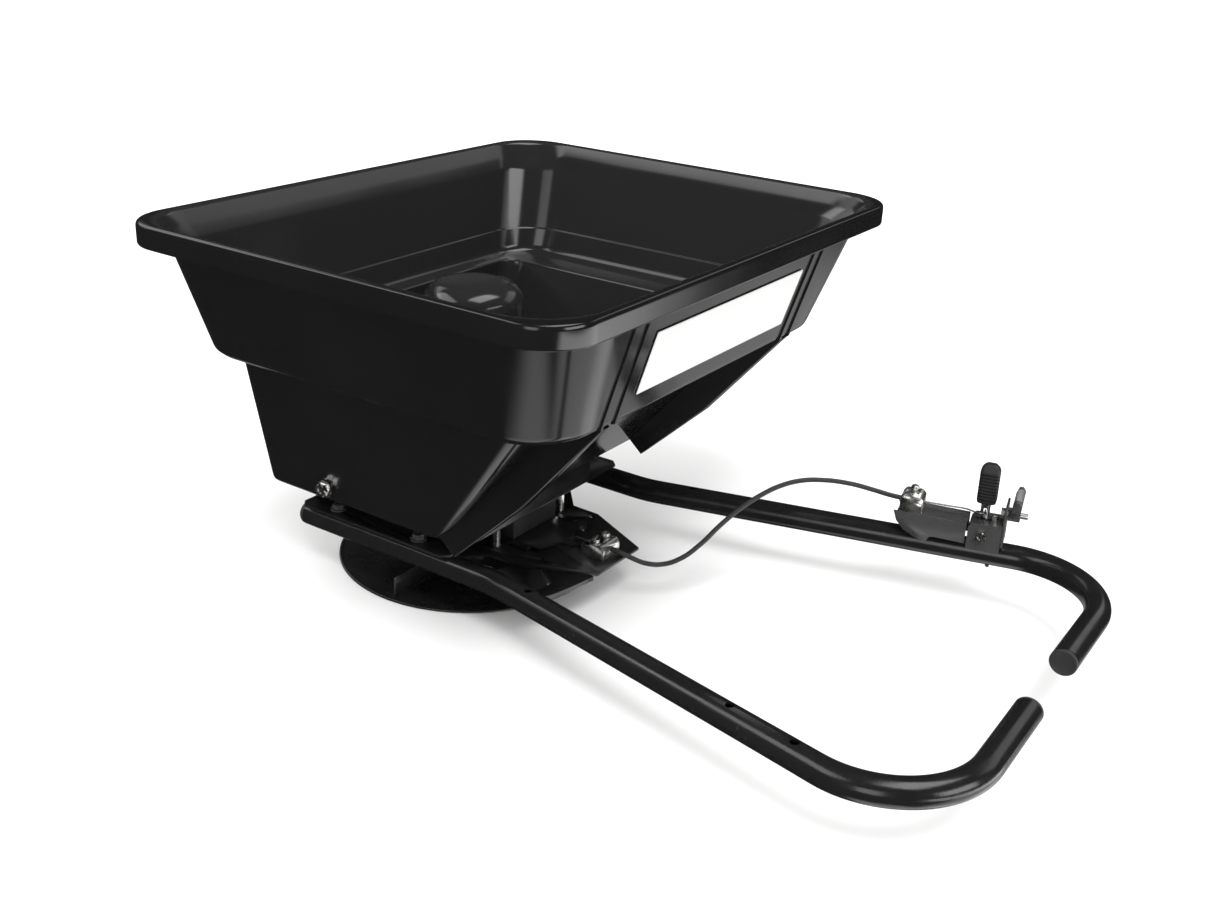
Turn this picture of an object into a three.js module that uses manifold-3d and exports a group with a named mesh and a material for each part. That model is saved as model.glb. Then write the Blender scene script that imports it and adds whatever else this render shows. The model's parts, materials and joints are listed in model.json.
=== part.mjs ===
// Garden spreader: a moulded hopper over a spinning disc, carried by two bent tubes.
// Units are millimetres. X runs forward to the tube ends, Y across, Z up.
// The origin is on the ground under the middle of the bounding box; the disc rests on Z = 0.
import * as THREE from "three";
import { mergeVertices } from "three/addons/utils/BufferGeometryUtils.js";
import Module from "manifold-3d";

// Overall sizes
const LENGTH = 700;
const WIDTH = 520;
const HEIGHT = 340;

// Gap between pieces that sit on one another
const FIT = 0.3;

// Hopper
const RIM_FRONT_X = 74.4;
const RIM_SKIRT = 18;
const RIM_CORNER = 42;
const OPENING_CORNER = 62;
const WALL = 3;
const SHELF_Z = 232;
const FLOOR_Z = 90;
const BODY_REAR_X = -LENGTH / 2 + 29;
const BODY_REAR_LEAN = 0.065;
const BODY_FRONT_X = -122;
const BODY_HALF_WIDTH = 145;
const CHUTE_RUN = 117;
const SIDE_FLARE = 0.3;
const CHEEK_Y = 140;
const CHEEK_THICK = 10;
const BASIN_REAR_X = -LENGTH / 2 + 28.5;
const BASIN_FRONT_X = 35.5;
const BASIN_HALF = WIDTH / 2 - 42.5;
const BASIN_REAR_FLARE = 13;
const BASIN_FRONT_FLARE = 26.5;
const BASIN_SIDE_FLARE = 29;
const BASIN_TOP = HEIGHT - 22;
const LABEL_LENGTH = 226;
const LABEL_WIDTH = 53;
const LABEL_THICK = 0.8;
const HOPPER_BOLT_X = -243;
const HOPPER_BOLT_Z = 106;

// Spinner and drive
const SPIN_X = -206;
const DISC_RADIUS = 124.8;
const DISC_THICK = 2;
const FIN_HEIGHT = 19;
const SHAFT_RADIUS = 5;
const TOWER_RADIUS = 45.5;
const TOWER_TOP = 264;

// Side rails
const TUBE_RADIUS = 11;
const TUBE_WALL = 1.6;
const PLUG_RADIUS = TUBE_RADIUS - TUBE_WALL - 0.6;
const RAIL_Y = 118.5;
const RAIL_Z = 54.5;
const RAIL_REAR_X = -LENGTH / 2 + 53;
const SPLAY_X = -86.65;
const SPLAY = 0.229;
const RISE = 0.018;
const SPLAY_BEND = 120;
const HOOK_BEND = 75;
const RAIL_END_Y = 43;
const RAIL_HOLES = [-42, 171, 228];
const DECK_BOLTS = [RAIL_REAR_X + 35, -168];

// Outlet, gate and plates
const OUTLET_REAR_X = -158;
const OUTLET_FRONT_X = -134;
const OUTLET_HALF = 30;
const PLATE_TOP = RAIL_Z - TUBE_RADIUS - FIT;
const PLATE_THICK = 2.2;
const GATE_THICK = 1.9;
const GATE_REAR_X = -149;
const THROAT_Z = PLATE_TOP + FIT + GATE_THICK + 0.4;
const GATE_WIRE_X = -88;
const GATE_WIRE_Z = PLATE_TOP + 7.2;
const CLAMP_X = -60;
const CLAMP_SCREW_Y = 8;
const POST_Y = 48;
const DECK_BOTTOM = RAIL_Z + TUBE_RADIUS + FIT;
const DECK_THICK = 2.2;
const DECK_REAR_X = RAIL_REAR_X - 2;
const BASE_REAR_X = RAIL_REAR_X + 8;
const POSTS_X = [RAIL_REAR_X + 21, -140];

// Control on the left rail
const CONTROL_X = 190;
const PIVOT_U = 30;
const PIVOT_W = 21;
const WIRE_W = 38;
const CASING_RADIUS = 2.2;
const WIRE_RADIUS = 0.8;

const wasm = await Module();
wasm.setup();
const { Manifold, Mesh } = wasm;

// Materials
const steelBlack = { color: 0x17181a, roughness: 0.32, metalness: 0.25 };
const plasticGloss = { color: 0x101113, roughness: 0.22, metalness: 0.0 };
const plasticMatte = { color: 0x1b1c1d, roughness: 0.6, metalness: 0.0 };
const sheetBlack = { color: 0x1d1e20, roughness: 0.45, metalness: 0.3 };
const gunmetal = { color: 0x3c3e40, roughness: 0.35, metalness: 0.5 };
const zinc = { color: 0xc4c7c9, roughness: 0.3, metalness: 0.9 };
const steelBright = { color: 0xa9abad, roughness: 0.35, metalness: 0.9 };
const castGrey = { color: 0x55575a, roughness: 0.55, metalness: 0.6 };
const labelWhite = { color: 0xe9eaea, roughness: 0.5, metalness: 0.0 };
const casingGrey = { color: 0x3a3c3e, roughness: 0.5, metalness: 0.0 };

// Turn a three.js geometry into a closed solid for boolean work.
function solid(geometry) {
  const g = geometry.clone();
  g.deleteAttribute("normal");
  g.deleteAttribute("uv");
  const m = mergeVertices(g, 1e-4);
  const mesh = new Mesh({
    numProp: 3,
    vertProperties: m.attributes.position.array,
    triVerts: new Uint32Array(m.index.array),
  });
  return new Manifold(mesh);
}

// Turn a solid back into a three.js geometry with flat faces.
function geometryOf(body) {
  const mesh = body.getMesh();
  const g = new THREE.BufferGeometry();
  const points = new Float32Array(mesh.numVert * 3);
  for (let i = 0; i < mesh.numVert; i += 1) {
    points[3 * i] = mesh.vertProperties[i * mesh.numProp];
    points[3 * i + 1] = mesh.vertProperties[i * mesh.numProp + 1];
    points[3 * i + 2] = mesh.vertProperties[i * mesh.numProp + 2];
  }
  g.setAttribute("position", new THREE.BufferAttribute(points, 3));
  g.setIndex(new THREE.BufferAttribute(new Uint32Array(mesh.triVerts), 1));
  const flat = g.toNonIndexed();
  flat.computeVertexNormals();
  return flat;
}

// A box given by its two corners.
function box(x0, x1, y0, y1, z0, z1) {
  const g = new THREE.BoxGeometry(x1 - x0, y1 - y0, z1 - z0);
  g.translate((x0 + x1) / 2, (y0 + y1) / 2, (z0 + z1) / 2);
  return solid(g);
}

// A cylinder along Z, from z0 to z1.
function rod(x, y, radius, z0, z1, sides = 16) {
  const g = new THREE.CylinderGeometry(radius, radius, z1 - z0, sides);
  g.rotateX(Math.PI / 2);
  g.translate(x, y, (z0 + z1) / 2);
  return solid(g);
}

// A cylinder along X, from x0 to x1.
function rodX(y, z, radius, x0, x1, sides = 12) {
  const g = new THREE.CylinderGeometry(radius, radius, x1 - x0, sides);
  g.rotateZ(Math.PI / 2);
  g.translate((x0 + x1) / 2, y, z);
  return solid(g);
}

// A cylinder along Y, from y0 to y1.
function rodY(x, z, radius, y0, y1, sides = 12) {
  const g = new THREE.CylinderGeometry(radius, radius, y1 - y0, sides);
  g.translate(x, (y0 + y1) / 2, z);
  return solid(g);
}

// A flat plate: an outline in X and Y, lifted from z0 to z1.
function plate(outline, z0, z1) {
  const shape = new THREE.Shape(outline.map(([x, y]) => new THREE.Vector2(x, y)));
  const g = new THREE.ExtrudeGeometry(shape, { depth: z1 - z0, bevelEnabled: false });
  g.translate(0, 0, z0);
  return solid(g);
}

// A slab: an outline in X and Z, with thickness from y0 to y1.
function slab(outline, y0, y1) {
  const shape = new THREE.Shape(outline.map(([x, z]) => new THREE.Vector2(x, z)));
  const g = new THREE.ExtrudeGeometry(shape, { depth: y1 - y0, bevelEnabled: false });
  g.rotateX(Math.PI / 2);
  g.translate(0, y1, 0);
  return solid(g);
}

// A turned part on the Z axis through (x, y).
function turned(profile, x, y, sides = 24) {
  const g = new THREE.LatheGeometry(
    profile.map(([r, z]) => new THREE.Vector2(r, z)),
    sides,
  );
  g.rotateX(Math.PI / 2);
  g.translate(x, y, 0);
  return solid(g);
}

// Move a solid with a three.js matrix.
function moved(body, matrix) {
  return body.transform(matrix.elements);
}

// Points along an arc; the angles are in degrees.
function arcPoints(x, y, radius, from, to, steps) {
  const points = [];
  for (let i = 0; i <= steps; i += 1) {
    const a = THREE.MathUtils.degToRad(from + ((to - from) * i) / steps);
    points.push([x + radius * Math.cos(a), y + radius * Math.sin(a)]);
  }
  return points;
}

const spreader = new THREE.Group();
spreader.name = "garden_spreader";

function add(name, body, look) {
  const material = new THREE.MeshStandardMaterial(look);
  const mesh = new THREE.Mesh(geometryOf(body), material);
  mesh.name = name;
  spreader.add(mesh);
}

// ---- Hopper ----

// One ring of the hopper: a rectangle with rounded corners at height z.
function ring(x0, x1, half, rear, z, front = rear) {
  const corners = [
    [x1 - front, half - front, 0, front],
    [x0 + rear, half - rear, 90, rear],
    [x0 + rear, rear - half, 180, rear],
    [x1 - front, front - half, 270, front],
  ];
  const points = [];
  for (const [cx, cy, start, radius] of corners) {
    for (const [x, y] of arcPoints(cx, cy, radius, start, start + 90, 6)) {
      points.push(new THREE.Vector3(x, y, z));
    }
  }
  return points;
}

// Rings joined one after another, with a flat cap on the first and the last.
function loft(rings) {
  const count = rings[0].length;
  const flat = rings.flat().flatMap((p) => [p.x, p.y, p.z]);
  const index = [];
  for (let r = 0; r + 1 < rings.length; r += 1) {
    for (let i = 0; i < count; i += 1) {
      const a = r * count + i;
      const b = r * count + ((i + 1) % count);
      index.push(a, b, b + count, a, b + count, a + count);
    }
  }
  const last = (rings.length - 1) * count;
  for (let i = 1; i + 1 < count; i += 1) {
    index.push(0, i + 1, i);
    index.push(last, last + i, last + i + 1);
  }
  const g = new THREE.BufferGeometry();
  g.setAttribute("position", new THREE.Float32BufferAttribute(flat, 3));
  g.setIndex(index);
  return solid(g.toNonIndexed());
}

// The lower body narrows downward; its front slopes back as a chute.
function bodyRing(z, inset, radius) {
  const up = z - FLOOR_Z;
  const front = BODY_FRONT_X + (CHUTE_RUN * up) / (228 - FLOOR_Z);
  const rear = BODY_REAR_X + BODY_REAR_LEAN * up;
  const half = BODY_HALF_WIDTH + SIDE_FLARE * up;
  return ring(rear + inset, front - inset, half - inset, radius, z);
}

// The basin above the shelf flares out to the rim.
function basinRing(z, inset, radius) {
  const t = (z - SHELF_Z) / (BASIN_TOP - SHELF_Z);
  const rear = BASIN_REAR_X - BASIN_REAR_FLARE * t;
  const front = BASIN_FRONT_X + BASIN_FRONT_FLARE * t;
  const half = BASIN_HALF + BASIN_SIDE_FLARE * t;
  return ring(rear + inset, front - inset, half - inset, radius, z, radius + 14);
}

// Rings near the rim are measured inward from its outer edge.
function rimRing(z, inset, corner) {
  const half = WIDTH / 2;
  return ring(
    -LENGTH / 2 + inset,
    RIM_FRONT_X - inset,
    half - inset,
    corner - inset,
    z,
  );
}

function hopperBin() {
  const skirtZ = HEIGHT - RIM_SKIRT;
  const shell = loft([
    bodyRing(FLOOR_Z, 5, 8),
    bodyRing(FLOOR_Z + 2, 1.5, 10),
    bodyRing(FLOOR_Z + 6, 0, 12),
    bodyRing(SHELF_Z - 6, 0, 22),
    ring(BASIN_REAR_X + 5.5, BASIN_FRONT_X - 8.5, BASIN_HALF - 8.5, 40, SHELF_Z - 2.5),
    basinRing(SHELF_Z + 3, 0, 46),
    basinRing(HEIGHT - 24, 0, 54),
    rimRing(HEIGHT - 13, 11.4, OPENING_CORNER),
    rimRing(HEIGHT - 7, 7.5, OPENING_CORNER),
    rimRing(HEIGHT - 5.5, 3.2, RIM_CORNER),
    rimRing(skirtZ, 2.4, RIM_CORNER),
    rimRing(skirtZ, 0, RIM_CORNER),
    rimRing(HEIGHT - 5, 0, RIM_CORNER),
    rimRing(HEIGHT - 1.5, 1.4, RIM_CORNER),
    rimRing(HEIGHT, 4, OPENING_CORNER - 8),
    rimRing(HEIGHT - 1.2, 7, OPENING_CORNER),
    rimRing(HEIGHT - 6, 10.6, OPENING_CORNER),
    rimRing(HEIGHT - 13, 14.4, OPENING_CORNER),
    basinRing(HEIGHT - 24, WALL, 51),
    basinRing(SHELF_Z + 5, WALL, 43),
    ring(BASIN_REAR_X + 9.5, BASIN_FRONT_X - 11.5, BASIN_HALF - 10.5, 37, SHELF_Z + 0.6),
    bodyRing(SHELF_Z - 4, WALL + 1, 19),
    bodyRing(FLOOR_Z + 8, WALL, 9),
    bodyRing(FLOOR_Z + 5, WALL + 1.5, 8),
    bodyRing(FLOOR_Z + WALL, WALL + 5, 7),
  ]);
  // Cheeks: a rib down each side of the sloping front.
  const cheekOutline = [
    [-107, 81],
    [-40, 144],
    [35, SHELF_Z - 1.5],
    [-8, SHELF_Z - 1.5],
    [-126, 96],
    [-121, 93],
  ];
  const cheekNear = slab(cheekOutline, -CHEEK_Y - CHEEK_THICK / 2, -CHEEK_Y + CHEEK_THICK / 2);
  const cheekFar = slab(cheekOutline, CHEEK_Y - CHEEK_THICK / 2, CHEEK_Y + CHEEK_THICK / 2);
  // Keep the cheeks clear of the space inside.
  const inside = loft([
    bodyRing(FLOOR_Z + WALL, WALL + 5, 7),
    bodyRing(FLOOR_Z + 5, WALL + 1.5, 8),
    bodyRing(FLOOR_Z + 8, WALL, 9),
    bodyRing(SHELF_Z - 4, WALL + 1, 19),
  ]);
  // Tower over the drive, closed at the top and open below.
  const tower = turned(
    [
      [0, FLOOR_Z],
      [TOWER_RADIUS, FLOOR_Z],
      [TOWER_RADIUS - 0.5, TOWER_TOP - 10],
      [TOWER_RADIUS - 2, TOWER_TOP - 5],
      [TOWER_RADIUS - 6, TOWER_TOP - 1.6],
      [TOWER_RADIUS - 13, TOWER_TOP],
      [0, TOWER_TOP],
    ],
    SPIN_X,
    0,
    28,
  );
  const cavity = turned(
    [
      [0, FLOOR_Z - 1],
      [TOWER_RADIUS - 4.5, FLOOR_Z - 1],
      [TOWER_RADIUS - 5, TOWER_TOP - 12],
      [TOWER_RADIUS - 10, TOWER_TOP - 5],
      [0, TOWER_TOP - 3.5],
    ],
    SPIN_X,
    0,
    28,
  );
  const outlet = box(
    OUTLET_REAR_X,
    OUTLET_FRONT_X,
    -OUTLET_HALF,
    OUTLET_HALF,
    FLOOR_Z - 1,
    FLOOR_Z + 6,
  );
  let bin = shell.add(cheekNear).add(cheekFar);
  bin = bin.subtract(inside).add(tower).subtract(cavity).subtract(outlet);
  for (const side of [-1, 1]) {
    const from = side > 0 ? 130 : -170;
    bin = bin.subtract(rodY(HOPPER_BOLT_X, HOPPER_BOLT_Z, 3.2, from, from + 40));
  }
  return bin;
}

add("hopper_bin", hopperBin(), plasticGloss);

// Blank label on the front wall, leaning with the wall.
function frontLabel() {
  const lean = Math.atan2(BASIN_FRONT_FLARE, BASIN_TOP - SHELF_Z);
  const g = new THREE.BoxGeometry(LABEL_THICK, LABEL_LENGTH, LABEL_WIDTH);
  g.rotateY(lean);
  g.translate(50.62, -5, 277.5);
  return solid(g);
}

add("label_plate", frontLabel(), labelWhite);

// Bolts through the hopper sides near the rear, each with a nut inside.
for (const [name, side] of [["right", -1], ["left", 1]]) {
  const wall = BODY_HALF_WIDTH + SIDE_FLARE * (HOPPER_BOLT_Z - FLOOR_Z);
  const y = (d) => side * (wall + d);
  const span = (a, b) => [Math.min(y(a), y(b)), Math.max(y(a), y(b))];
  const head = rodY(HOPPER_BOLT_X, HOPPER_BOLT_Z, 6.2, ...span(4.1, 8.9), 6);
  const flange = rodY(HOPPER_BOLT_X, HOPPER_BOLT_Z, 7.6, ...span(2.8, 4.3), 16);
  const shank = rodY(HOPPER_BOLT_X, HOPPER_BOLT_Z, 2.8, ...span(-13, 4), 12);
  add(`hopper_bolt_${name}`, head.add(flange).add(shank), zinc);
  const nut = rodY(HOPPER_BOLT_X, HOPPER_BOLT_Z, 5.8, ...span(-10.5, -5.6), 6);
  const hole = rodY(HOPPER_BOLT_X, HOPPER_BOLT_Z, 3.1, ...span(-11, -5), 12);
  add(`hopper_nut_${name}`, nut.subtract(hole), zinc);
}

// ---- Drive ----

add(
  "motor_plate",
  rod(SPIN_X, 0, 45, FLOOR_Z - 3.6, FLOOR_Z - 0.3, 28)
    .subtract(rod(SPIN_X, 0, 7.5, FLOOR_Z - 5, FLOOR_Z + 1, 16))
    .subtract(rod(SPIN_X - 34, 0, 4.3, FLOOR_Z - 5, FLOOR_Z + 1, 12)),
  sheetBlack,
);
add(
  "motor_gearbox",
  rod(SPIN_X, 0, 36, FLOOR_Z + 0.1, 138, 24)
    .subtract(rod(SPIN_X, 0, SHAFT_RADIUS + 0.4, FLOOR_Z - 1, 120, 16))
    .subtract(rod(SPIN_X - 34, 0, 5.5, FLOOR_Z - 1, 139, 12)),
  castGrey,
);
add(
  "motor_can",
  turned(
    [
      [0, 138.3],
      [29, 138.3],
      [29, 222],
      [26, 226],
      [12, 227],
      [11, 232],
      [0, 232],
    ],
    SPIN_X,
    0,
    24,
  ),
  castGrey,
);
// Inlet gland for the power lead.
add(
  "lead_gland",
  turned(
    [
      [2.2, FLOOR_Z - 12],
      [5.8, FLOOR_Z - 12],
      [6.4, FLOOR_Z - 9],
      [6.4, FLOOR_Z - 4],
      [4, FLOOR_Z - 3.9],
      [4, FLOOR_Z + 7],
      [2.2, FLOOR_Z + 7],
      [2.2, FLOOR_Z - 12],
    ],
    SPIN_X - 34,
    0,
    16,
  ),
  plasticMatte,
);

// ---- Outlet throat, deck and base plate ----

add(
  "outlet_throat",
  box(
    OUTLET_REAR_X - 1.8,
    OUTLET_FRONT_X + 1.8,
    -OUTLET_HALF - 1.8,
    OUTLET_HALF + 1.8,
    THROAT_Z,
    FLOOR_Z - FIT,
  ).subtract(
    box(OUTLET_REAR_X, OUTLET_FRONT_X, -OUTLET_HALF, OUTLET_HALF, THROAT_Z - 1, FLOOR_Z + 1),
  ),
  plasticMatte,
);

function deckPlate() {
  const top = DECK_BOTTOM + DECK_THICK;
  let deck = plate(
    [
      [DECK_REAR_X, -124],
      [DECK_REAR_X + 7, -131],
      [-135, -131],
      [-128, -124],
      [-128, 124],
      [-135, 131],
      [DECK_REAR_X + 7, 131],
      [DECK_REAR_X, 124],
    ],
    DECK_BOTTOM,
    top,
  );
  deck = deck.add(box(-130.2, -128, -80, 80, DECK_BOTTOM, FLOOR_Z - FIT));
  deck = deck.add(box(DECK_REAR_X, DECK_REAR_X + DECK_THICK, -110, 110, DECK_BOTTOM, FLOOR_Z - FIT));
  deck = deck.subtract(box(-252, -131.5, -34, 34, DECK_BOTTOM - 1, top + 1));
  for (const x of DECK_BOLTS) {
    for (const side of [-1, 1]) {
      deck = deck.subtract(rod(x, side * RAIL_Y, 3.5, DECK_BOTTOM - 1, top + 1, 12));
    }
  }
  return deck;
}

add("deck_plate", deckPlate(), sheetBlack);

function basePlate() {
  const bottom = PLATE_TOP - PLATE_THICK;
  let base = plate(
    [
      [BASE_REAR_X, -92],
      [-158, -92],
      [-135, -65],
      [-106, -64],
      [-38, -35],
      [-38, 30],
      [-106, 64],
      [-135, 65],
      [-158, 92],
      [BASE_REAR_X, 92],
    ],
    bottom,
    PLATE_TOP,
  );
  const through = [bottom - 1, PLATE_TOP + 1];
  base = base.subtract(rod(SPIN_X, 0, 17, ...through, 20));
  base = base.subtract(
    box(OUTLET_REAR_X, OUTLET_FRONT_X, -OUTLET_HALF, OUTLET_HALF, ...through),
  );
  // Spare fixing holes on the tongue.
  for (const [x, y] of [[-108, 56], [-96, 28], [-121, -8], [-93, -43]]) {
    base = base.subtract(rod(x, y, 2.6, ...through, 10));
  }
  // Clamp screws
  for (const y of [-CLAMP_SCREW_Y, CLAMP_SCREW_Y]) {
    base = base.subtract(rod(CLAMP_X, y, 2.3, ...through, 10));
  }
  return base;
}

add("base_plate", basePlate(), sheetBlack);

// Deflector wing under the right side of the tongue.
const WING_EDGE = [
  [-66, -114],
  [-57, -101],
  [-50, -86],
  [-45.5, -66],
  [-42.5, -48],
  [-41, -37],
];
function deflector() {
  const top = PLATE_TOP - PLATE_THICK - FIT;
  let wing = plate([...WING_EDGE, [-112, -37], [-112, -100]], top - 1.9, top);
  const lipBack = WING_EDGE.map(([x, y]) => [x - 2, y + 0.6]).reverse();
  wing = wing.add(plate([...WING_EDGE, ...lipBack], top - 3.7, top));
  wing = wing.subtract(rod(-62, -72, 2.6, top - 9, top + 4, 10));
  wing = wing.subtract(rod(-93, -43, 2.6, top - 9, top + 4, 10));
  return wing;
}

add("deflector_wing", deflector(), sheetBlack);

// Sliding gate under the throat, with a narrow tab in front for the wire.
function shutterGate() {
  const z0 = PLATE_TOP + 0.3;
  const gate = plate(
    [
      [GATE_REAR_X, -31.5],
      [-104, -31.5],
      [-96, -9],
      [-84, -7],
      [-82, -4],
      [-82, 4],
      [-84, 7],
      [-96, 9],
      [-104, 31.5],
      [GATE_REAR_X, 31.5],
    ],
    z0,
    z0 + GATE_THICK,
  );
  return gate.subtract(rod(GATE_WIRE_X, 0, 1.3, z0 - 1, z0 + 3, 10));
}

add("shutter_gate", shutterGate(), sheetBlack);

for (const [name, side] of [["right", -1], ["left", 1]]) {
  const y = (a, b) => [Math.min(side * a, side * b), Math.max(side * a, side * b)];
  const base = PLATE_TOP + 0.1;
  const rib = box(-172, -112, ...y(32.2, 38.5), base, base + 2.2);
  add(`gate_guide_${name}`, rib, sheetBlack);
}

// Spacer posts between the deck and the base plate.
for (const [place, x] of [["rear", POSTS_X[0]], ["front", POSTS_X[1]]]) {
  for (const [name, side] of [["right", -1], ["left", 1]]) {
    const post = rod(x, side * POST_Y, 4.6, PLATE_TOP + 0.2, DECK_BOTTOM - 0.2, 10);
    add(`spacer_post_${place}_${name}`, post, zinc);
  }
}

// ---- Rails ----

// Points along the left rail by distance, bends included.
const splayAngle = Math.atan(SPLAY);
const hookTurn = Math.PI / 2 + splayAngle;
const railZ = (x) => RAIL_Z + RISE * Math.max(0, x - SPLAY_X);

// The centre line of the left rail as points in X and Y.
function railStations() {
  const points = [];
  const reach = SPLAY_BEND * Math.tan(splayAngle / 2);
  points.push([RAIL_REAR_X, RAIL_Y]);
  for (let i = 0; i <= 3; i += 1) {
    const a = (splayAngle * i) / 3;
    points.push([
      SPLAY_X - reach + SPLAY_BEND * Math.sin(a),
      RAIL_Y + SPLAY_BEND * (1 - Math.cos(a)),
    ]);
  }
  const frontX = LENGTH / 2 - TUBE_RADIUS;
  const centreX = frontX - HOOK_BEND;
  const startX = centreX - HOOK_BEND * Math.sin(splayAngle);
  const startY = RAIL_Y + SPLAY * (startX - SPLAY_X);
  const centreY = startY - HOOK_BEND * Math.cos(splayAngle);
  points.push([startX - 60, startY - 60 * SPLAY]);
  for (let i = 0; i <= 9; i += 1) {
    const a = Math.PI / 2 + splayAngle - (hookTurn * i) / 9;
    points.push([centreX + HOOK_BEND * Math.cos(a), centreY + HOOK_BEND * Math.sin(a)]);
  }
  points.push([frontX, RAIL_END_Y]);
  return points.map(([x, y]) => new THREE.Vector3(x, y, railZ(x)));
}

// A path that puts one extrusion step on each of its own points.
class StationPath extends THREE.Curve {
  constructor(points) {
    super();
    this.points = points;
  }
  getPoint(t) {
    const s = t * (this.points.length - 1);
    const i = Math.min(Math.floor(s), this.points.length - 2);
    return this.points[i].clone().lerp(this.points[i + 1], s - i);
  }
  getPointAt(t) {
    return this.getPoint(t);
  }
  getTangentAt(t) {
    const last = this.points.length - 1;
    const i = Math.round(t * last);
    const before = this.points[Math.max(i - 1, 0)];
    const after = this.points[Math.min(i + 1, last)];
    return after.clone().sub(before).normalize();
  }
}

// Sweep a round outline, hollow if inner is given, along a path of points.
function sweep(points, outer, inner, sides) {
  const shape = new THREE.Shape();
  const turn = (r, n, back) => {
    const ringPoints = arcPoints(0, 0, r, 0, back ? -360 : 360, n).slice(0, n);
    return ringPoints.map(([x, y]) => new THREE.Vector2(x, y));
  };
  shape.setFromPoints(turn(outer, sides, false));
  if (inner > 0) {
    const hole = new THREE.Path();
    hole.setFromPoints(turn(inner, sides, true));
    shape.holes.push(hole);
  }
  const g = new THREE.ExtrudeGeometry(shape, {
    steps: points.length - 1,
    bevelEnabled: false,
    extrudePath: new StationPath(points),
  });
  return solid(g);
}

function rail(side) {
  const points = railStations().map((p) => new THREE.Vector3(p.x, side * p.y, p.z));
  let tube = sweep(points, TUBE_RADIUS, TUBE_RADIUS - TUBE_WALL, 16);
  for (const x of RAIL_HOLES) {
    const y = side * (RAIL_Y + SPLAY * (x - SPLAY_X));
    tube = tube.subtract(rod(x, y, 3.6, RAIL_Z - 20, RAIL_Z + 30, 10));
  }
  for (const x of DECK_BOLTS) {
    tube = tube.subtract(rod(x, side * RAIL_Y, 3.6, RAIL_Z - 20, RAIL_Z + 20, 10));
  }
  return tube;
}

for (const [name, side] of [["right", -1], ["left", 1]]) {
  add(`rail_${name}`, rail(side), steelBlack);
  // Rear plug with a rounded face.
  const rear = turned(
    [
      [0, -1],
      [PLUG_RADIUS, -1],
      [PLUG_RADIUS, 8],
      [TUBE_RADIUS, 8.3],
      [TUBE_RADIUS - 0.6, 11],
      [TUBE_RADIUS - 4, 13.4],
      [0, 14.4],
    ],
    0,
    0,
    16,
  );
  const turnRear = new THREE.Matrix4().makeRotationY(-Math.PI / 2);
  turnRear.setPosition(RAIL_REAR_X + 8, side * RAIL_Y, RAIL_Z);
  add(`rail_plug_rear_${name}`, moved(rear, turnRear), plasticMatte);
  // Front plug, flush with the tube end.
  const front = turned(
    [
      [0, -3],
      [PLUG_RADIUS, -3],
      [PLUG_RADIUS, 8],
      [TUBE_RADIUS, 8.3],
      [TUBE_RADIUS, 10.6],
      [TUBE_RADIUS - 1.2, 11.4],
      [0, 11.4],
    ],
    0,
    0,
    16,
  );
  const turnFront = new THREE.Matrix4().makeRotationX(side * (Math.PI / 2));
  const frontX = LENGTH / 2 - TUBE_RADIUS;
  turnFront.setPosition(frontX, side * (RAIL_END_Y + 8), railZ(frontX));
  add(`rail_plug_front_${name}`, moved(front, turnFront), plasticMatte);
}

// Bolts that hold deck, rails and base plate together.
DECK_BOLTS.forEach((x, i) => {
  for (const [name, side] of [["right", -1], ["left", 1]]) {
    const y = side * RAIL_Y;
    const top = DECK_BOTTOM + DECK_THICK;
    const place = i === 0 ? "rear" : "front";
    const bolt = rod(x, y, 5.8, top + 1.8, top + 6, 6)
      .add(rod(x, y, 7.4, top + 0.3, top + 2, 14))
      .add(rod(x, y, 2.9, RAIL_Z - TUBE_RADIUS - 0.6, top + 2, 10));
    add(`deck_bolt_${place}_${name}`, bolt, gunmetal);
  }
});

// ---- Spinner ----

add("drive_shaft", rod(SPIN_X, 0, SHAFT_RADIUS, 10, 118, 16), steelBright);
add(
  "spinner_disc",
  turned(
    [
      [0, 0],
      [DISC_RADIUS - 1, 0],
      [DISC_RADIUS, 1],
      [DISC_RADIUS, DISC_THICK + 0.4],
      [DISC_RADIUS - 2, DISC_THICK + 0.4],
      [DISC_RADIUS - 3.5, DISC_THICK],
      [0, DISC_THICK],
    ],
    SPIN_X,
    0,
    48,
  ).subtract(rod(SPIN_X, 0, 3.3, -1, 3, 12)),
  steelBlack,
);
add(
  "spinner_hub",
  turned(
    [
      [0, DISC_THICK + 0.3],
      [20, DISC_THICK + 0.3],
      [20, 6],
      [12, 8],
      [11, 30],
      [0, 30],
    ],
    SPIN_X,
    0,
    24,
  )
    .subtract(rod(SPIN_X, 0, SHAFT_RADIUS + FIT, 9.7, 31, 16))
    .subtract(rod(SPIN_X, 0, 3.3, 1, 12, 12)),
  castGrey,
);
add(
  "hub_screw",
  rod(SPIN_X, 0, 2.9, 0.7, 9.4, 12),
  zinc,
);
for (let i = 0; i < 4; i += 1) {
  const web = slab(
    [
      [24, DISC_THICK + 0.3],
      [119, DISC_THICK + 0.3],
      [119, DISC_THICK + FIN_HEIGHT - 3],
      [116, DISC_THICK + FIN_HEIGHT],
      [34, DISC_THICK + FIN_HEIGHT],
      [24, DISC_THICK + 9],
    ],
    8,
    9.8,
  );
  const foot = box(24, 118, -2, 9, DISC_THICK + 0.3, DISC_THICK + 2);
  const spin = new THREE.Matrix4().makeRotationZ((i * Math.PI) / 2);
  spin.setPosition(SPIN_X, 0, 0);
  add(`spinner_fin_${i + 1}`, moved(web.add(foot), spin), steelBlack);
}

// ---- Cable clamp on the tongue ----

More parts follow.
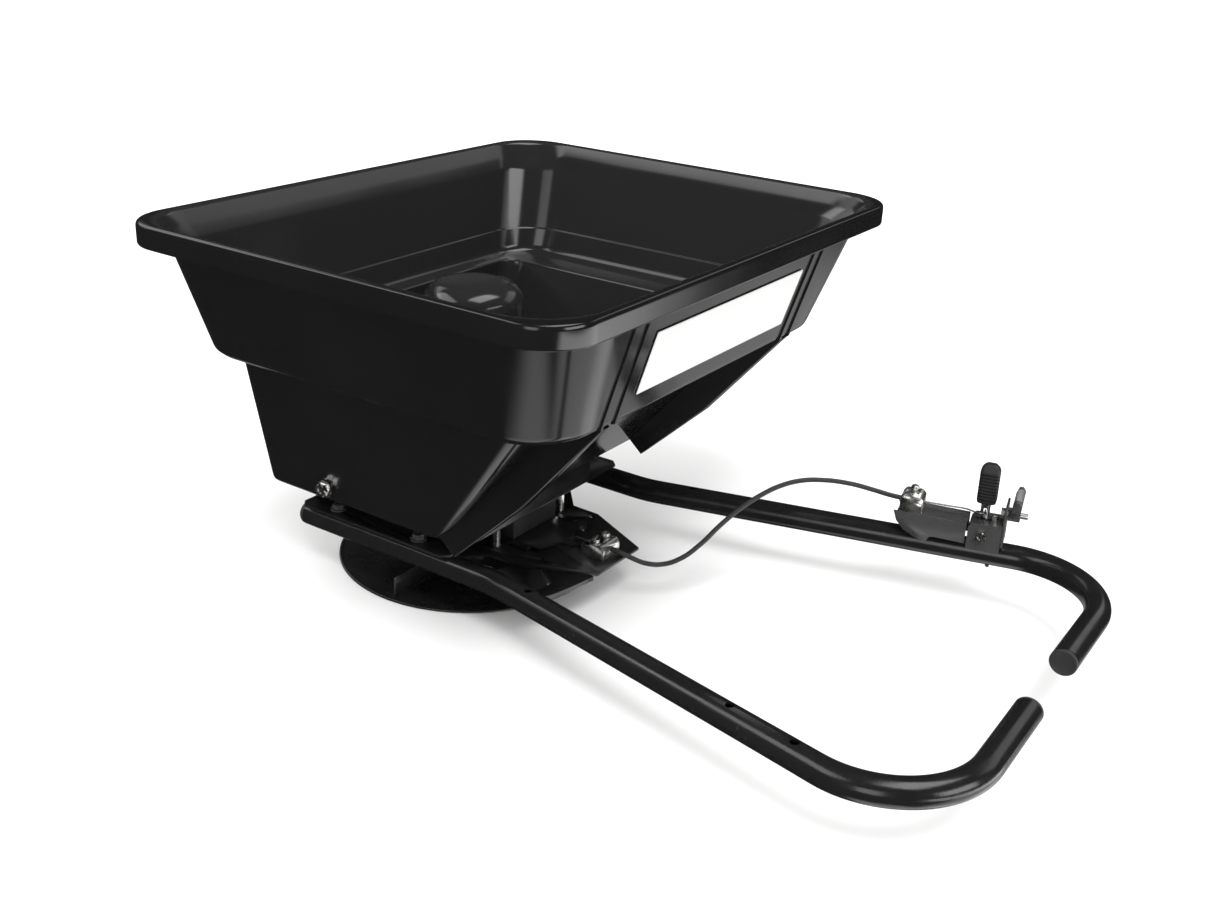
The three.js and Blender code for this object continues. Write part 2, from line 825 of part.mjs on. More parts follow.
const clampZ = PLATE_TOP + 0.3;
add(
  "cable_clamp",
  slab(
    [
      [-72, clampZ],
      [-48, clampZ],
      [-48, clampZ + 9],
      [-51, clampZ + 13],
      [-69, clampZ + 13],
      [-72, clampZ + 9],
    ],
    -13,
    13,
  )
    .subtract(rodX(0, GATE_WIRE_Z, CASING_RADIUS + 0.3, -67, -40, 10))
    .subtract(rodX(0, GATE_WIRE_Z, 1.6, -80, -60, 10))
    .subtract(rod(CLAMP_X, CLAMP_SCREW_Y, 2.3, 40, 62, 10))
    .subtract(rod(CLAMP_X, -CLAMP_SCREW_Y, 2.3, 40, 62, 10)),
  zinc,
);
for (const [name, y] of [["right", -CLAMP_SCREW_Y], ["left", CLAMP_SCREW_Y]]) {
  const head = rod(CLAMP_X, y, 4.2, clampZ + 13.3, clampZ + 17, 8);
  const shank = rod(CLAMP_X, y, 1.9, PLATE_TOP - 3.7, clampZ + 15, 10);
  add(`clamp_screw_${name}`, head.add(shank), zinc);
}
// Inner wire at the gate: straight, then bent down through the tab.
add(
  "inner_wire_gate",
  sweep(
    [
      new THREE.Vector3(GATE_WIRE_X, 0, GATE_WIRE_Z - 6.8),
      new THREE.Vector3(GATE_WIRE_X, 0, GATE_WIRE_Z - 1.5),
      new THREE.Vector3(GATE_WIRE_X + 0.6, 0, GATE_WIRE_Z - 0.4),
      new THREE.Vector3(GATE_WIRE_X + 2, 0, GATE_WIRE_Z),
      new THREE.Vector3(-58, 0, GATE_WIRE_Z),
    ],
    WIRE_RADIUS,
    0,
    8,
  ),
  steelBright,
);

// ---- Control on the left rail ----
// Built in its own axes: U along the rail, V across, W up from the rail's centre line.

const uAxis = new THREE.Vector3(1, SPLAY, RISE).normalize();
const vAxis = new THREE.Vector3(-uAxis.y, uAxis.x, 0).normalize();
const wAxis = new THREE.Vector3().crossVectors(uAxis, vAxis);
const controlFrame = new THREE.Matrix4().makeBasis(uAxis, vAxis, wAxis);
controlFrame.setPosition(CONTROL_X, RAIL_Y + SPLAY * (CONTROL_X - SPLAY_X), railZ(CONTROL_X));

function addControl(name, body, look) {
  add(name, moved(body, controlFrame), look);
}

const HOLE_A = (171 - CONTROL_X) / uAxis.x;
const HOLE_B = (228 - CONTROL_X) / uAxis.x;

// Folded bracket: a long top plate, two cheeks and a foot on the rail.
function controlBracket() {
  const outline = [
    [-47, 31],
    [-44, 22],
    [-37, 14],
    [-28, 9.5],
    [-22, 6],
    [-16, 6.5],
    [-13, 12],
    [17, 11],
    [17, 30],
    [-30, 31],
  ];
  const half = TUBE_RADIUS + 3.2;
  const near = slab(outline, -half, 1.5 - half);
  const far = slab(outline, half - 1.5, half);
  const top = box(-44.5, 16.5, -half, half, 27.5, 29);
  const foot = box(-28, -11, -half, half, TUBE_RADIUS + 0.4, TUBE_RADIUS + 2);
  return near
    .add(far)
    .add(top)
    .add(foot)
    .subtract(rod(HOLE_A, 0, 3.3, TUBE_RADIUS - 1, TUBE_RADIUS + 4, 12))
    .subtract(rod(-33, 7, 2.2, 25, 32, 10));
}

addControl("control_bracket", controlBracket(), gunmetal);
addControl(
  "bracket_bolt",
  rod(HOLE_A, 0, 5.4, TUBE_RADIUS + 2.3, TUBE_RADIUS + 6, 6)
    .add(rod(HOLE_A, 0, 2.9, 0.5 - TUBE_RADIUS, TUBE_RADIUS + 4, 10)),
  zinc,
);

// Saddle block: sits on the rail, slotted for the lever.
function saddle() {
  const outline = [
    [18.5, 7],
    [47, 7],
    [47, 32],
    [22, 32],
    [18.5, 28],
  ];
  return slab(outline, -14.5, 14.5)
    .subtract(rodX(0, 0, TUBE_RADIUS + 0.4, 10, 60, 20))
    .subtract(box(10, 36.8, -2.6, 2.6, 14.4, 40))
    .subtract(rodY(PIVOT_U, PIVOT_W, 3.2, -20, 20, 12))
    .subtract(rod(HOLE_B, 0, 3.3, 5, 40, 12));
}

addControl("rail_saddle", saddle(), gunmetal);
addControl(
  "saddle_bolt",
  rod(HOLE_B, 0, 3.3, 32.3, 35.5, 10).add(rod(HOLE_B, 0, 2.8, -13.5, 34, 10)),
  zinc,
);

// Stop plate on the front of the saddle, with its bolt and wing nut.
const STOP_W = 40;
function stopPlate() {
  const outline = [
    [47.3, TUBE_RADIUS + 1],
    [49.3, TUBE_RADIUS + 1],
    [49.3, 50],
    [47.3, 50],
  ];
  return slab(outline, -13, 13)
    .subtract(rodX(0, STOP_W, 3.1, 46, 51, 12));
}

addControl("stop_plate", stopPlate(), gunmetal);
addControl(
  "stop_bolt",
  rodX(0, STOP_W, 5, 43.6, 47, 6).add(rodX(0, STOP_W, 2.6, 46, 66, 12)),
  zinc,
);
function wingNut() {
  const barrel = rodX(0, STOP_W, 6, 49.8, 60, 14);
  const wing = [
    [52, 2],
    [60, 3],
    [61, 23],
    [58.5, 26.5],
    [55, 26],
    [53, 20],
  ];
  const blade = slab(wing, -1.6, 1.6);
  let nut = barrel;
  for (const turn of [-42, 42]) {
    const tilt = new THREE.Matrix4().makeRotationX(THREE.MathUtils.degToRad(turn));
    tilt.setPosition(0, 0, STOP_W);
    nut = nut.add(moved(blade, tilt));
  }
  return nut.subtract(rodX(0, STOP_W, 2.9, 48, 70, 12));
}
addControl("wing_nut", wingNut(), gunmetal);

// Lever: a flat bar on the pivot, with a slot for the wire.
function lever() {
  const bar = slab(
    [
      [PIVOT_U - 5, PIVOT_W - 3],
      [PIVOT_U - 3, PIVOT_W - 5.4],
      [PIVOT_U + 3, PIVOT_W - 5.4],
      [PIVOT_U + 5, PIVOT_W - 3],
      [PIVOT_U + 5, PIVOT_W + 2],
      [PIVOT_U + 4, PIVOT_W + 6],
      [PIVOT_U + 4, 66],
      [PIVOT_U - 4, 66],
      [PIVOT_U - 4, PIVOT_W + 6],
      [PIVOT_U - 5, PIVOT_W + 2],
    ],
    -1.7,
    1.7,
  );
  return bar
    .subtract(rodY(PIVOT_U, PIVOT_W, 3.2, -5, 5, 12))
    .subtract(box(PIVOT_U - 1.4, PIVOT_U + 1.4, -5, 5, WIRE_W - 1.6, WIRE_W + 4));
}
addControl("control_lever", lever(), steelBright);
addControl(
  "pivot_bolt",
  rodY(PIVOT_U, PIVOT_W, 5.2, -18.4, -14.8, 6)
    .add(rodY(PIVOT_U, PIVOT_W, 2.8, -16, 19.5, 12)),
  zinc,
);
addControl(
  "pivot_nut",
  rodY(PIVOT_U, PIVOT_W, 5.2, 14.8, 18.6, 6)
    .subtract(rodY(PIVOT_U, PIVOT_W, 3.1, 14, 20, 12)),
  zinc,
);

// Ribbed grip pushed over the lever.
function grip() {
  let body = loft([
    gripRing(7.4, 5.8, 47.5),
    gripRing(8.6, 6.8, 49.5),
    gripRing(8.6, 6.8, 76),
    gripRing(7.4, 5.8, 81),
    gripRing(4.6, 3.6, 84),
  ]);
  body = body.subtract(box(PIVOT_U - 4.3, PIVOT_U + 4.3, -2, 2, 40, 66.5));
  return body;
}
function gripRing(halfU, halfV, w) {
  const r = 3;
  const corners = [
    [halfU - r, halfV - r, 0],
    [r - halfU, halfV - r, 90],
    [r - halfU, r - halfV, 180],
    [halfU - r, r - halfV, 270],
  ];
  const points = [];
  for (const [cx, cy, start] of corners) {
    for (const [x, y] of arcPoints(cx, cy, r, start, start + 90, 3)) {
      points.push(new THREE.Vector3(PIVOT_U + x, y, w));
    }
  }
  return points;
}
addControl("lever_grip", grip(), plasticMatte);

// Zinc clamp on the bracket, gripping the casing.
addControl(
  "casing_clamp",
  slab(
    [
      [-43, 29.3],
      [-23, 29.3],
      [-23, 42],
      [-26, 45.5],
      [-40, 45.5],
      [-43, 42],
    ],
    -9,
    11,
  )
    .subtract(rodX(0, WIRE_W, CASING_RADIUS + 0.3, -50, -29, 10))
    .subtract(rodX(0, WIRE_W, 1.6, -40, -15, 10))
    .subtract(rod(-33, 7, 2.1, 20, 50, 10)),
  zinc,
);
addControl(
  "casing_clamp_screw",
  rod(-33, 7, 3.9, 45.8, 49.5, 8).add(rod(-33, 7, 1.8, 25.5, 47, 10)),
  zinc,
);
// Inner wire at the lever: straight, then bent across through the slot.
addControl(
  "inner_wire_lever",
  sweep(
    [
      new THREE.Vector3(-34, 0, WIRE_W),
      new THREE.Vector3(14, 0, WIRE_W),
      new THREE.Vector3(22, -3.2, WIRE_W),
      new THREE.Vector3(28.4, -4.2, WIRE_W),
      new THREE.Vector3(29.8, -3.4, WIRE_W),
      new THREE.Vector3(30, -2, WIRE_W),
      new THREE.Vector3(30, 4.5, WIRE_W),
    ],
    WIRE_RADIUS,
    0,
    8,
  ),
  steelBright,
);

// ---- Cable casing ----

// Hand-placed route from the tongue clamp to the control clamp.
const ROUTE = [
  [-66, 0, GATE_WIRE_Z],
  [-56, 0, GATE_WIRE_Z],
  [-46, 0, GATE_WIRE_Z],
  [-38, 1.5, 49.2],
  [-30, 6, 45],
  [-20, 13.5, 40],
  [-9, 23, 38.6],
  [3, 35, 43.5],
  [14, 49.5, 55.5],
  [23.5, 65.5, 71],
  [34, 81.5, 85],
  [45.5, 96.5, 96],
  [57.5, 110, 104],
  [70.5, 122.5, 108.3],
  [85, 134, 109.2],
  [106, 149, 106.6],
  [125, 162, 101],
  [136, 168.4, 97.8],
];

function casing() {
  const points = ROUTE.map(([x, y, z]) => new THREE.Vector3(x, y, z));
  for (const u of [-45, -38, -30]) {
    points.push(new THREE.Vector3(u, 0, WIRE_W).applyMatrix4(controlFrame));
  }
  const curve = new THREE.CatmullRomCurve3(points, false, "centripetal");
  const spaced = curve.getSpacedPoints(52);
  let cord = sweep(spaced, CASING_RADIUS, 0, 8);
  cord = cord.subtract(rodX(0, GATE_WIRE_Z, 1.2, -80, -48, 8));
  const bore = moved(rodX(0, WIRE_W, 1.2, -46, -20, 8), controlFrame);
  return cord.subtract(bore);
}
add("cable_casing", casing(), casingGrey);

export default spreader;
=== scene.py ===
"""The look of the garden spreader: finer pieces, procedural materials, studio light and camera.

Everything is in metres in the part's own frame: X runs forward to the tube ends, Z is up.
Sizes below are in millimetres and are multiplied by MM where a mesh is made.
"""

import json
import math

import bmesh
import bpy
from mathutils import Matrix, Vector


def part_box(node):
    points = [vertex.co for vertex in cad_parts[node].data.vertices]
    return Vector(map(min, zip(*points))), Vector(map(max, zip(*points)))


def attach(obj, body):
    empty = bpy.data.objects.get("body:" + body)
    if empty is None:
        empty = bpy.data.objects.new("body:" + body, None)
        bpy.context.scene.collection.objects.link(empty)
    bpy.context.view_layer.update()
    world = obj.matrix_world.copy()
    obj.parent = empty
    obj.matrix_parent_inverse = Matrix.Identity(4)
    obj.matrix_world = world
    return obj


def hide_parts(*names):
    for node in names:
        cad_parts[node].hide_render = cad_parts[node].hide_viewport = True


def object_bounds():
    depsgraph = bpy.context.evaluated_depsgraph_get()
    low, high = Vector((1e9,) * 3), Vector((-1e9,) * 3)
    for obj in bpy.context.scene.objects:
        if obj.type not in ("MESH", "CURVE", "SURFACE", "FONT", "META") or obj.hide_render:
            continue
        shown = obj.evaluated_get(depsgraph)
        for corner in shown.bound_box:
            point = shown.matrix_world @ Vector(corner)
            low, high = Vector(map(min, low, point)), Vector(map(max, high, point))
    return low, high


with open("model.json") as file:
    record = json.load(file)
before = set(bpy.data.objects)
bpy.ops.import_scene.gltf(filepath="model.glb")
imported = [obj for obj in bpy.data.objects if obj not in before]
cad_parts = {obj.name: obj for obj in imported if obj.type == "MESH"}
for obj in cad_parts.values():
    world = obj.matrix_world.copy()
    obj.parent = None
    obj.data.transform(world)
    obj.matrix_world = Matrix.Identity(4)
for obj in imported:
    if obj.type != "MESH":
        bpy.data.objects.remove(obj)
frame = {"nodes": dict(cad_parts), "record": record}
cad_low, cad_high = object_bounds()
MM = 0.001
scene = bpy.context.scene

# ---- Camera ----

AZIMUTH = 33.18
ELEVATION = 23.06
ROLL = 2.69
CAMERA_AT = (0.5332, -0.9028, 0.5970)


def make_camera():
    data = bpy.data.cameras.new("camera")
    data.sensor_width = 36.0
    data.lens = 40.33
    data.clip_end = 100.0
    camera = bpy.data.objects.new("camera", data)
    scene.collection.objects.link(camera)
    turn = (
        Matrix.Rotation(math.radians(AZIMUTH), 4, "Z")
        @ Matrix.Rotation(math.radians(90 - ELEVATION), 4, "X")
        @ Matrix.Rotation(math.radians(ROLL), 4, "Z")
    )
    camera.matrix_world = Matrix.Translation(CAMERA_AT) @ turn
    scene.camera = camera


make_camera()

# ---- The control's own axes: U along the rail, V across, W up ----

SPIN_X = -206.0
RAIL_Y = 118.5
RAIL_Z = 54.5
SPLAY_X = -86.65
SPLAY = 0.229
RISE = 0.018
CONTROL_X = 190.0
PIVOT_U = 30.0
PIVOT_W = 21.0
WIRE_W = 38.0
STOP_W = 40.0
CABLE_Z = 50.4


def control_matrix():
    u = Vector((1, SPLAY, RISE)).normalized()
    v = Vector((-u.y, u.x, 0)).normalized()
    w = u.cross(v)
    run = CONTROL_X - SPLAY_X
    matrix = Matrix((u, v, w)).transposed().to_4x4()
    matrix.translation = Vector((CONTROL_X, RAIL_Y + SPLAY * run, RAIL_Z + RISE * run))
    return matrix


CONTROL = control_matrix()

# ---- Materials ----

# Middle and tower size that place the painted light on the hopper's inner walls.
PAINTED_LIGHT_MIDDLE_X = -135.0
PAINTED_LIGHT_TOWER_RADIUS = 52.0


def node(tree, kind, **values):
    made = tree.nodes.new(kind)
    for name, value in values.items():
        if name in made.inputs:
            made.inputs[name].default_value = value
        else:
            setattr(made, name, value)
    return made


class Finish:
    """A Principled material with noise on its colour, roughness and surface."""

    def __init__(self, name, metallic=0.0, **constants):
        self.material = bpy.data.materials.new(name)
        self.material.use_nodes = True
        self.tree = self.material.node_tree
        self.shader = self.tree.nodes["Principled BSDF"]
        self.shader.inputs["Metallic"].default_value = metallic
        for socket, value in constants.items():
            self.shader.inputs[socket.replace("_", " ")].default_value = value
        self.place = node(self.tree, "ShaderNodeTexCoord").outputs["Object"]
        self.height = None

    def noise(self, scale, detail=3.0, stretch=None):
        made = node(self.tree, "ShaderNodeTexNoise", Scale=scale, Detail=detail)
        source = self.place
        if stretch:
            mapping = node(self.tree, "ShaderNodeMapping")
            mapping.inputs["Scale"].default_value = stretch
            self.tree.links.new(source, mapping.inputs["Vector"])
            source = mapping.outputs["Vector"]
        self.tree.links.new(source, made.inputs["Vector"])
        return made.outputs["Fac"]

    def span(self, value, low, high, start=0.3, end=0.7):
        made = node(self.tree, "ShaderNodeMapRange")
        made.inputs["From Min"].default_value = start
        made.inputs["From Max"].default_value = end
        made.inputs["To Min"].default_value = low
        made.inputs["To Max"].default_value = high
        self.tree.links.new(value, made.inputs["Value"])
        return made.outputs["Result"]

    def colour(self, first, second, share):
        made = node(self.tree, "ShaderNodeMix", data_type="RGBA")
        made.inputs[6].default_value = (*first, 1.0)
        made.inputs[7].default_value = (*second, 1.0)
        self.tree.links.new(share, made.inputs[0])
        return made.outputs[2]

    def over(self, base, colour, share):
        made = node(self.tree, "ShaderNodeMix", data_type="RGBA")
        made.inputs[7].default_value = (*colour, 1.0)
        self.tree.links.new(base, made.inputs[6])
        self.tree.links.new(share, made.inputs[0])
        return made.outputs[2]

    def facing_in(self, tower_x, middle_x, tower_radius):
        """The mask for the painted inner light: one on walls that face the middle of the hopper and
        on its tower, nought outside.
        """
        flat = node(self.tree, "ShaderNodeVectorMath", operation="MULTIPLY")
        flat.inputs[1].default_value = (1, 1, 0)
        from_middle = node(self.tree, "ShaderNodeVectorMath", operation="SUBTRACT")
        from_middle.inputs[1].default_value = (middle_x, 0, 0)
        inward = node(self.tree, "ShaderNodeVectorMath", operation="DOT_PRODUCT")
        normal = node(self.tree, "ShaderNodeTexCoord").outputs["Normal"]
        self.tree.links.new(self.place, flat.inputs[0])
        self.tree.links.new(flat.outputs[0], from_middle.inputs[0])
        self.tree.links.new(from_middle.outputs[0], inward.inputs[0])
        self.tree.links.new(normal, inward.inputs[1])
        from_tower = node(self.tree, "ShaderNodeVectorMath", operation="DISTANCE")
        from_tower.inputs[1].default_value = (tower_x, 0, 0)
        self.tree.links.new(flat.outputs[0], from_tower.inputs[0])
        wall = self.span(inward.outputs["Value"], 1.0, 0.0, -0.03, 0.0)
        tower = self.span(from_tower.outputs["Value"], 1.0, 0.0, tower_radius, tower_radius + 0.004)
        most = node(self.tree, "ShaderNodeMath", operation="MAXIMUM")
        self.tree.links.new(wall, most.inputs[0])
        self.tree.links.new(tower, most.inputs[1])
        return most.outputs[0]

    def paint(self, value):
        self.tree.links.new(value, self.shader.inputs["Base Color"])

    def rough(self, value):
        self.tree.links.new(value, self.shader.inputs["Roughness"])

    def bump(self, value, depth, strength=1.0):
        made = node(self.tree, "ShaderNodeBump", Strength=strength, Distance=depth)
        self.tree.links.new(value, made.inputs["Height"])
        if self.height is not None:
            self.tree.links.new(self.height, made.inputs["Normal"])
        self.height = made.outputs["Normal"]
        self.tree.links.new(self.height, self.shader.inputs["Normal"])


def hopper_plastic():
    made = Finish("hopper_plastic", IOR=1.5)
    base = made.colour((0.0048, 0.0048, 0.0049), (0.0078, 0.0078, 0.0079), made.noise(9.0, 4.0))
    inside = made.facing_in(SPIN_X * MM, PAINTED_LIGHT_MIDDLE_X * MM, PAINTED_LIGHT_TOWER_RADIUS * MM)
    # Painted light: the inner walls and the tower get a lighter grey that stands in for the light
    # they catch inside the hopper.
    painted_inner_light = made.over(base, (0.0165, 0.0165, 0.0164), inside)
    specks = made.span(made.noise(300.0, 2.0), 0.0, 0.05, 0.76, 0.84)
    made.paint(made.over(painted_inner_light, (0.16, 0.155, 0.15), specks))
    made.rough(made.span(made.noise(14.0, 6.0), 0.09, 0.17))
    made.bump(made.noise(7.0, 1.0), 0.0010)
    made.bump(made.noise(520.0, 1.0), 0.000004, 0.5)
    return made.material


def black_metal(name, grain, low, high, tint, metallic=0.0):
    made = Finish(name, metallic, IOR=1.5)
    base = made.colour(tint, tuple(2.0 * c for c in tint), made.noise(22.0, 5.0))
    specks = made.span(made.noise(260.0, 2.0), 0.0, 0.12, 0.72, 0.80)
    made.paint(made.over(base, (0.20, 0.195, 0.185), specks))
    made.rough(made.span(made.noise(45.0, 6.0), low, high))
    made.bump(made.noise(grain, 3.0), 0.00006)
    return made.material


def matte_plastic(name, tint, grain=900.0):
    made = Finish(name, IOR=1.46)
    made.paint(made.colour(tint, tuple(1.8 * c for c in tint), made.noise(30.0, 4.0)))
    made.rough(made.span(made.noise(80.0, 4.0), 0.42, 0.6))
    made.bump(made.noise(grain, 2.0), 0.00005)
    return made.material


def bare_metal(name, first, second, low, high, grain, depth, stretch=None):
    made = Finish(name, metallic=1.0)
    base = made.colour(first, second, made.noise(60.0, 5.0))
    dull = made.span(made.noise(150.0, 3.0), 0, 0.6, 0.6, 0.75)
    made.paint(made.over(base, (0.10, 0.09, 0.08), dull))
    made.rough(made.span(made.noise(90.0, 5.0, stretch), low, high))
    made.bump(made.noise(grain, 3.0, stretch), depth)
    return made.material


def label_white():
    made = Finish("label_white", IOR=1.45)
    made.paint(made.colour((0.74, 0.74, 0.735), (0.79, 0.79, 0.785), made.noise(25.0, 3.0)))
    made.rough(made.span(made.noise(60.0, 4.0), 0.3, 0.42))
    made.bump(made.noise(500.0, 2.0), 0.00001)
    return made.material


LOOKS = {
    "hopper_plastic": hopper_plastic(),
    "label_white": label_white(),
    "rail_enamel": black_metal("rail_enamel", 500.0, 0.13, 0.24, (0.006, 0.006, 0.0062)),
    "disc_enamel": black_metal("disc_enamel", 420.0, 0.22, 0.36, (0.006, 0.006, 0.0062)),
    "gunmetal": black_metal("gunmetal", 700.0, 0.20, 0.34, (0.050, 0.050, 0.051), 0.45),
    "sheet_black": black_metal("sheet_black", 900.0, 0.30, 0.44, (0.006, 0.006, 0.0062)),
    "plastic_matte": matte_plastic("plastic_matte", (0.016, 0.016, 0.0165)),
    "grip_plastic": matte_plastic("grip_plastic", (0.010, 0.010, 0.0102)),
    "cast_grey": bare_metal(
        "cast_grey", (0.30, 0.30, 0.30), (0.38, 0.38, 0.375), 0.38, 0.55, 350.0, 0.00025
    ),
    "zinc": bare_metal("zinc", (0.66, 0.65, 0.62), (0.80, 0.79, 0.76), 0.2, 0.38, 500.0, 0.00005),
    "steel_bright": bare_metal(
        "steel_bright", (0.42, 0.42, 0.42), (0.52, 0.52, 0.52), 0.24, 0.4, 400.0, 0.00003, (1, 12, 12)
    ),
    "casing_grey": matte_plastic("casing_grey", (0.018, 0.0182, 0.0186), 1200.0),
}

# ---- Mesh tools ----

NEEDLE = 0.01
BEVEL_ABOVE = math.radians(32)

node_slot = {s["node"]: s["material_slot"] for s in frame["record"]["subparts"]}
node_body = {
    n: body for body, names in frame["record"]["behaviour"]["bodies"].items() for n in names
}


def finish_piece(obj, *nodes, sharp=38.0):
    """Gives a piece the material of its CAD nodes' slot, puts it in their body and hides those nodes.
    """
    slot_name = node_slot[nodes[0]]
    obj.data.materials.clear()
    obj.data.materials.append(LOOKS[slot_name])
    if obj.type == "MESH":
        obj.data.shade_smooth()
        obj.data.set_sharp_from_angle(angle=math.radians(sharp))
    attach(obj, node_body[nodes[0]])
    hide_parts(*nodes)


def mesh_object(name, bm):
    bmesh.ops.recalc_face_normals(bm, faces=bm.faces)
    mesh = bpy.data.meshes.new(name)
    bm.to_mesh(mesh)
    bm.free()
    obj = bpy.data.objects.new(name, mesh)
    scene.collection.objects.link(obj)
    return obj


def loft(bm, rings, closed=False):
    """Skins equal rings of points, in millimetres; the ends are capped unless closed."""
    rows = [[bm.verts.new(Vector(p) * MM) for p in points] for points in rings]
    pairs = list(zip(rows, rows[1:]))
    if closed:
        pairs.append((rows[-1], rows[0]))
    count = len(rows[0])
    for low, high in pairs:
        for i in range(count):
            j = (i + 1) % count
            bm.faces.new((low[i], low[j], high[j], high[i]))
    if not closed:
        bm.faces.new(rows[0])
        bm.faces.new(rows[-1])


def circle(radius, count):
    step = 2 * math.pi / count
    angles = [i * step for i in range(count)]
    return [(radius * math.cos(a), radius * math.sin(a)) for a in angles]


def turned(bm, profile, matrix, count=48):
    """Turns a profile of (radius, height) about the Z axis of matrix, which is in millimetres."""
    rings = []
    for radius, height in profile:
        around = circle(max(radius, NEEDLE), count)
        rings.append([matrix @ Vector((x, y, height)) for x, y in around])
    loft(bm, rings)


def cut(obj, cutter, operation="DIFFERENCE"):
    """Applies one exact boolean and removes the cutter."""
    modifier = obj.modifiers.new("cut", "BOOLEAN")
    modifier.operation = operation
    modifier.solver = "EXACT"
    modifier.object = cutter
    bpy.context.view_layer.update()
    graph = bpy.context.evaluated_depsgraph_get()
    mesh = bpy.data.meshes.new_from_object(obj.evaluated_get(graph))
    obj.modifiers.clear()
    obj.data = mesh
    bpy.data.objects.remove(cutter)


def along(point, axis):
    """A matrix whose Z axis runs along axis from point, in millimetres."""
    matrix = Vector(axis).to_track_quat("Z", "Y").to_matrix().to_4x4()
    matrix.translation = Vector(point)
    return matrix


def arc(cx, cy, radius, start, end, steps):
    points = []
    for i in range(steps + 1):
        a = math.radians(start + (end - start) * i / steps)
        points.append((cx + radius * math.cos(a), cy + radius * math.sin(a)))
    return points


def refined(name, bevel=0.35, segments=2, sharp=40.0):
    """A CAD node's own shape with its flat faces joined and its edges rounded."""
    bm = bmesh.new()
    bm.from_mesh(frame["nodes"][name].data)
    bmesh.ops.remove_doubles(bm, verts=bm.verts, dist=2e-6)
    bmesh.ops.dissolve_limit(bm, angle_limit=math.radians(1.0), verts=bm.verts, edges=bm.edges)
    if bevel:
        folds = [e for e in bm.edges if len(e.link_faces) == 2]
        edges = [e for e in folds if e.calc_face_angle() > BEVEL_ABOVE]
        bmesh.ops.bevel(
            bm, geom=edges, offset=bevel * MM, segments=segments, affect="EDGES", clamp_overlap=True
        )
    finish_piece(mesh_object(f"{name}_fine", bm), name, sharp=sharp)


def round_wire(name, points, radius, steps, sides):
    """A round tube along points, in millimetres; radius is in metres."""
    data = bpy.data.curves.new(f"{name}_fine", "CURVE")
    data.dimensions = "3D"
    data.resolution_u = steps
    data.bevel_depth = radius
    data.bevel_resolution = sides
    data.use_fill_caps = True
    line = data.splines.new("BEZIER")
    line.bezier_points.add(len(points) - 1)
    for spot, point in zip(line.bezier_points, points):
        spot.co = point * MM
        spot.handle_left_type = "AUTO"
        spot.handle_right_type = "AUTO"
    obj = bpy.data.objects.new(f"{name}_fine", data)
    scene.collection.objects.link(obj)
    finish_piece(obj, name)
    return obj


# ---- Cable between the two clamps ----

CASING_DIAMETER = 0.0044
ROUTE = [
    (-66, 0, 50.4),
    (-56, 0, 50.4),
    (-46, 0, 50.4),
    (-38, 1.5, 49.2),
    (-30, 6, 45),
    (-20, 13.5, 40),
    (-9, 23, 38.6),
    (3, 35, 43.5),
    (14, 49.5, 55.5),
    (23.5, 65.5, 71),
    (34, 81.5, 85),
    (45.5, 96.5, 96),
    (57.5, 110, 104),
    (70.5, 122.5, 108.3),
    (85, 134, 109.2),
    (106, 149, 106.6),
    (125, 162, 101),
    (136, 168.4, 97.8),
]


def make_casing():
    points = [Vector(p) for p in ROUTE]
    points += [CONTROL @ Vector((u, 0, WIRE_W)) for u in (-45, -38, -30)]
    obj = round_wire("cable_casing", points, CASING_DIAMETER / 2, 10, 6)


make_casing()

# ---- Hopper ----

HEIGHT = 340.0
RIM_REAR = -350.0
RIM_FRONT = 74.4
RIM_HALF = 260.0
FLOOR_Z = 90.0
SHELF_Z = 232.0
WALL = 3.0
CORNER_STEPS = 14


def ring(rear, front, half, r_rear, r_front, z):
    """A rectangle with round corners at height z; r_rear and r_front are its corner radii."""
    corners = (
        (front - r_front, half - r_front, 0, r_front),
        (rear + r_rear, half - r_rear, 90, r_rear),
        (rear + r_rear, r_rear - half, 180, r_rear),
        (front - r_front, r_front - half, 270, r_front),
    )
    points = []
    for cx, cy, start, radius in corners:
        points += [(x, y, z) for x, y in arc(cx, cy, radius, start, start + 90, CORNER_STEPS)]
    return points


def body(z, inset, radius, front_radius=None):
    up = z - FLOOR_Z
    return (
        -321 + 0.065 * up + inset,
        -122 + 117 * up / 138 - inset,
        145 + 0.3 * up - inset,
        radius,
        front_radius or radius,
        z,
    )


def basin(z, inset, radius):
    t = (z - SHELF_Z) / (HEIGHT - 22 - SHELF_Z)
    return (
        -321.5 - 13 * t + inset,
        35.5 + 26.5 * t - inset,
        217.5 + 29 * t - inset,
        radius,
        radius + 14,
        z,
    )


def rim(z, inset, corner):
    return (RIM_REAR + inset, RIM_FRONT - inset, RIM_HALF - inset, corner - inset, corner - inset, z)


def rounded(specs, cuts, steps=4):
    """Rounds the corners of a list of ring sizes; cuts gives how far each corner is taken back."""
    made = [specs[0]]
    for i in range(1, len(specs) - 1):
        before, here, after = (Vector(specs[k]) for k in (i - 1, i, i + 1))
        reach = cuts[i]
        if not reach:
            made.append(tuple(here))
            continue
        back, ahead = before - here, after - here
        start = here + back * min(0.48, reach / back.length)
        end = here + ahead * min(0.48, reach / ahead.length)
        for k in range(steps + 1):
            t = k / steps
            made.append(tuple(start * (1 - t) ** 2 + here * (2 * t * (1 - t)) + end * t**2))
    made.append(specs[-1])
    return made


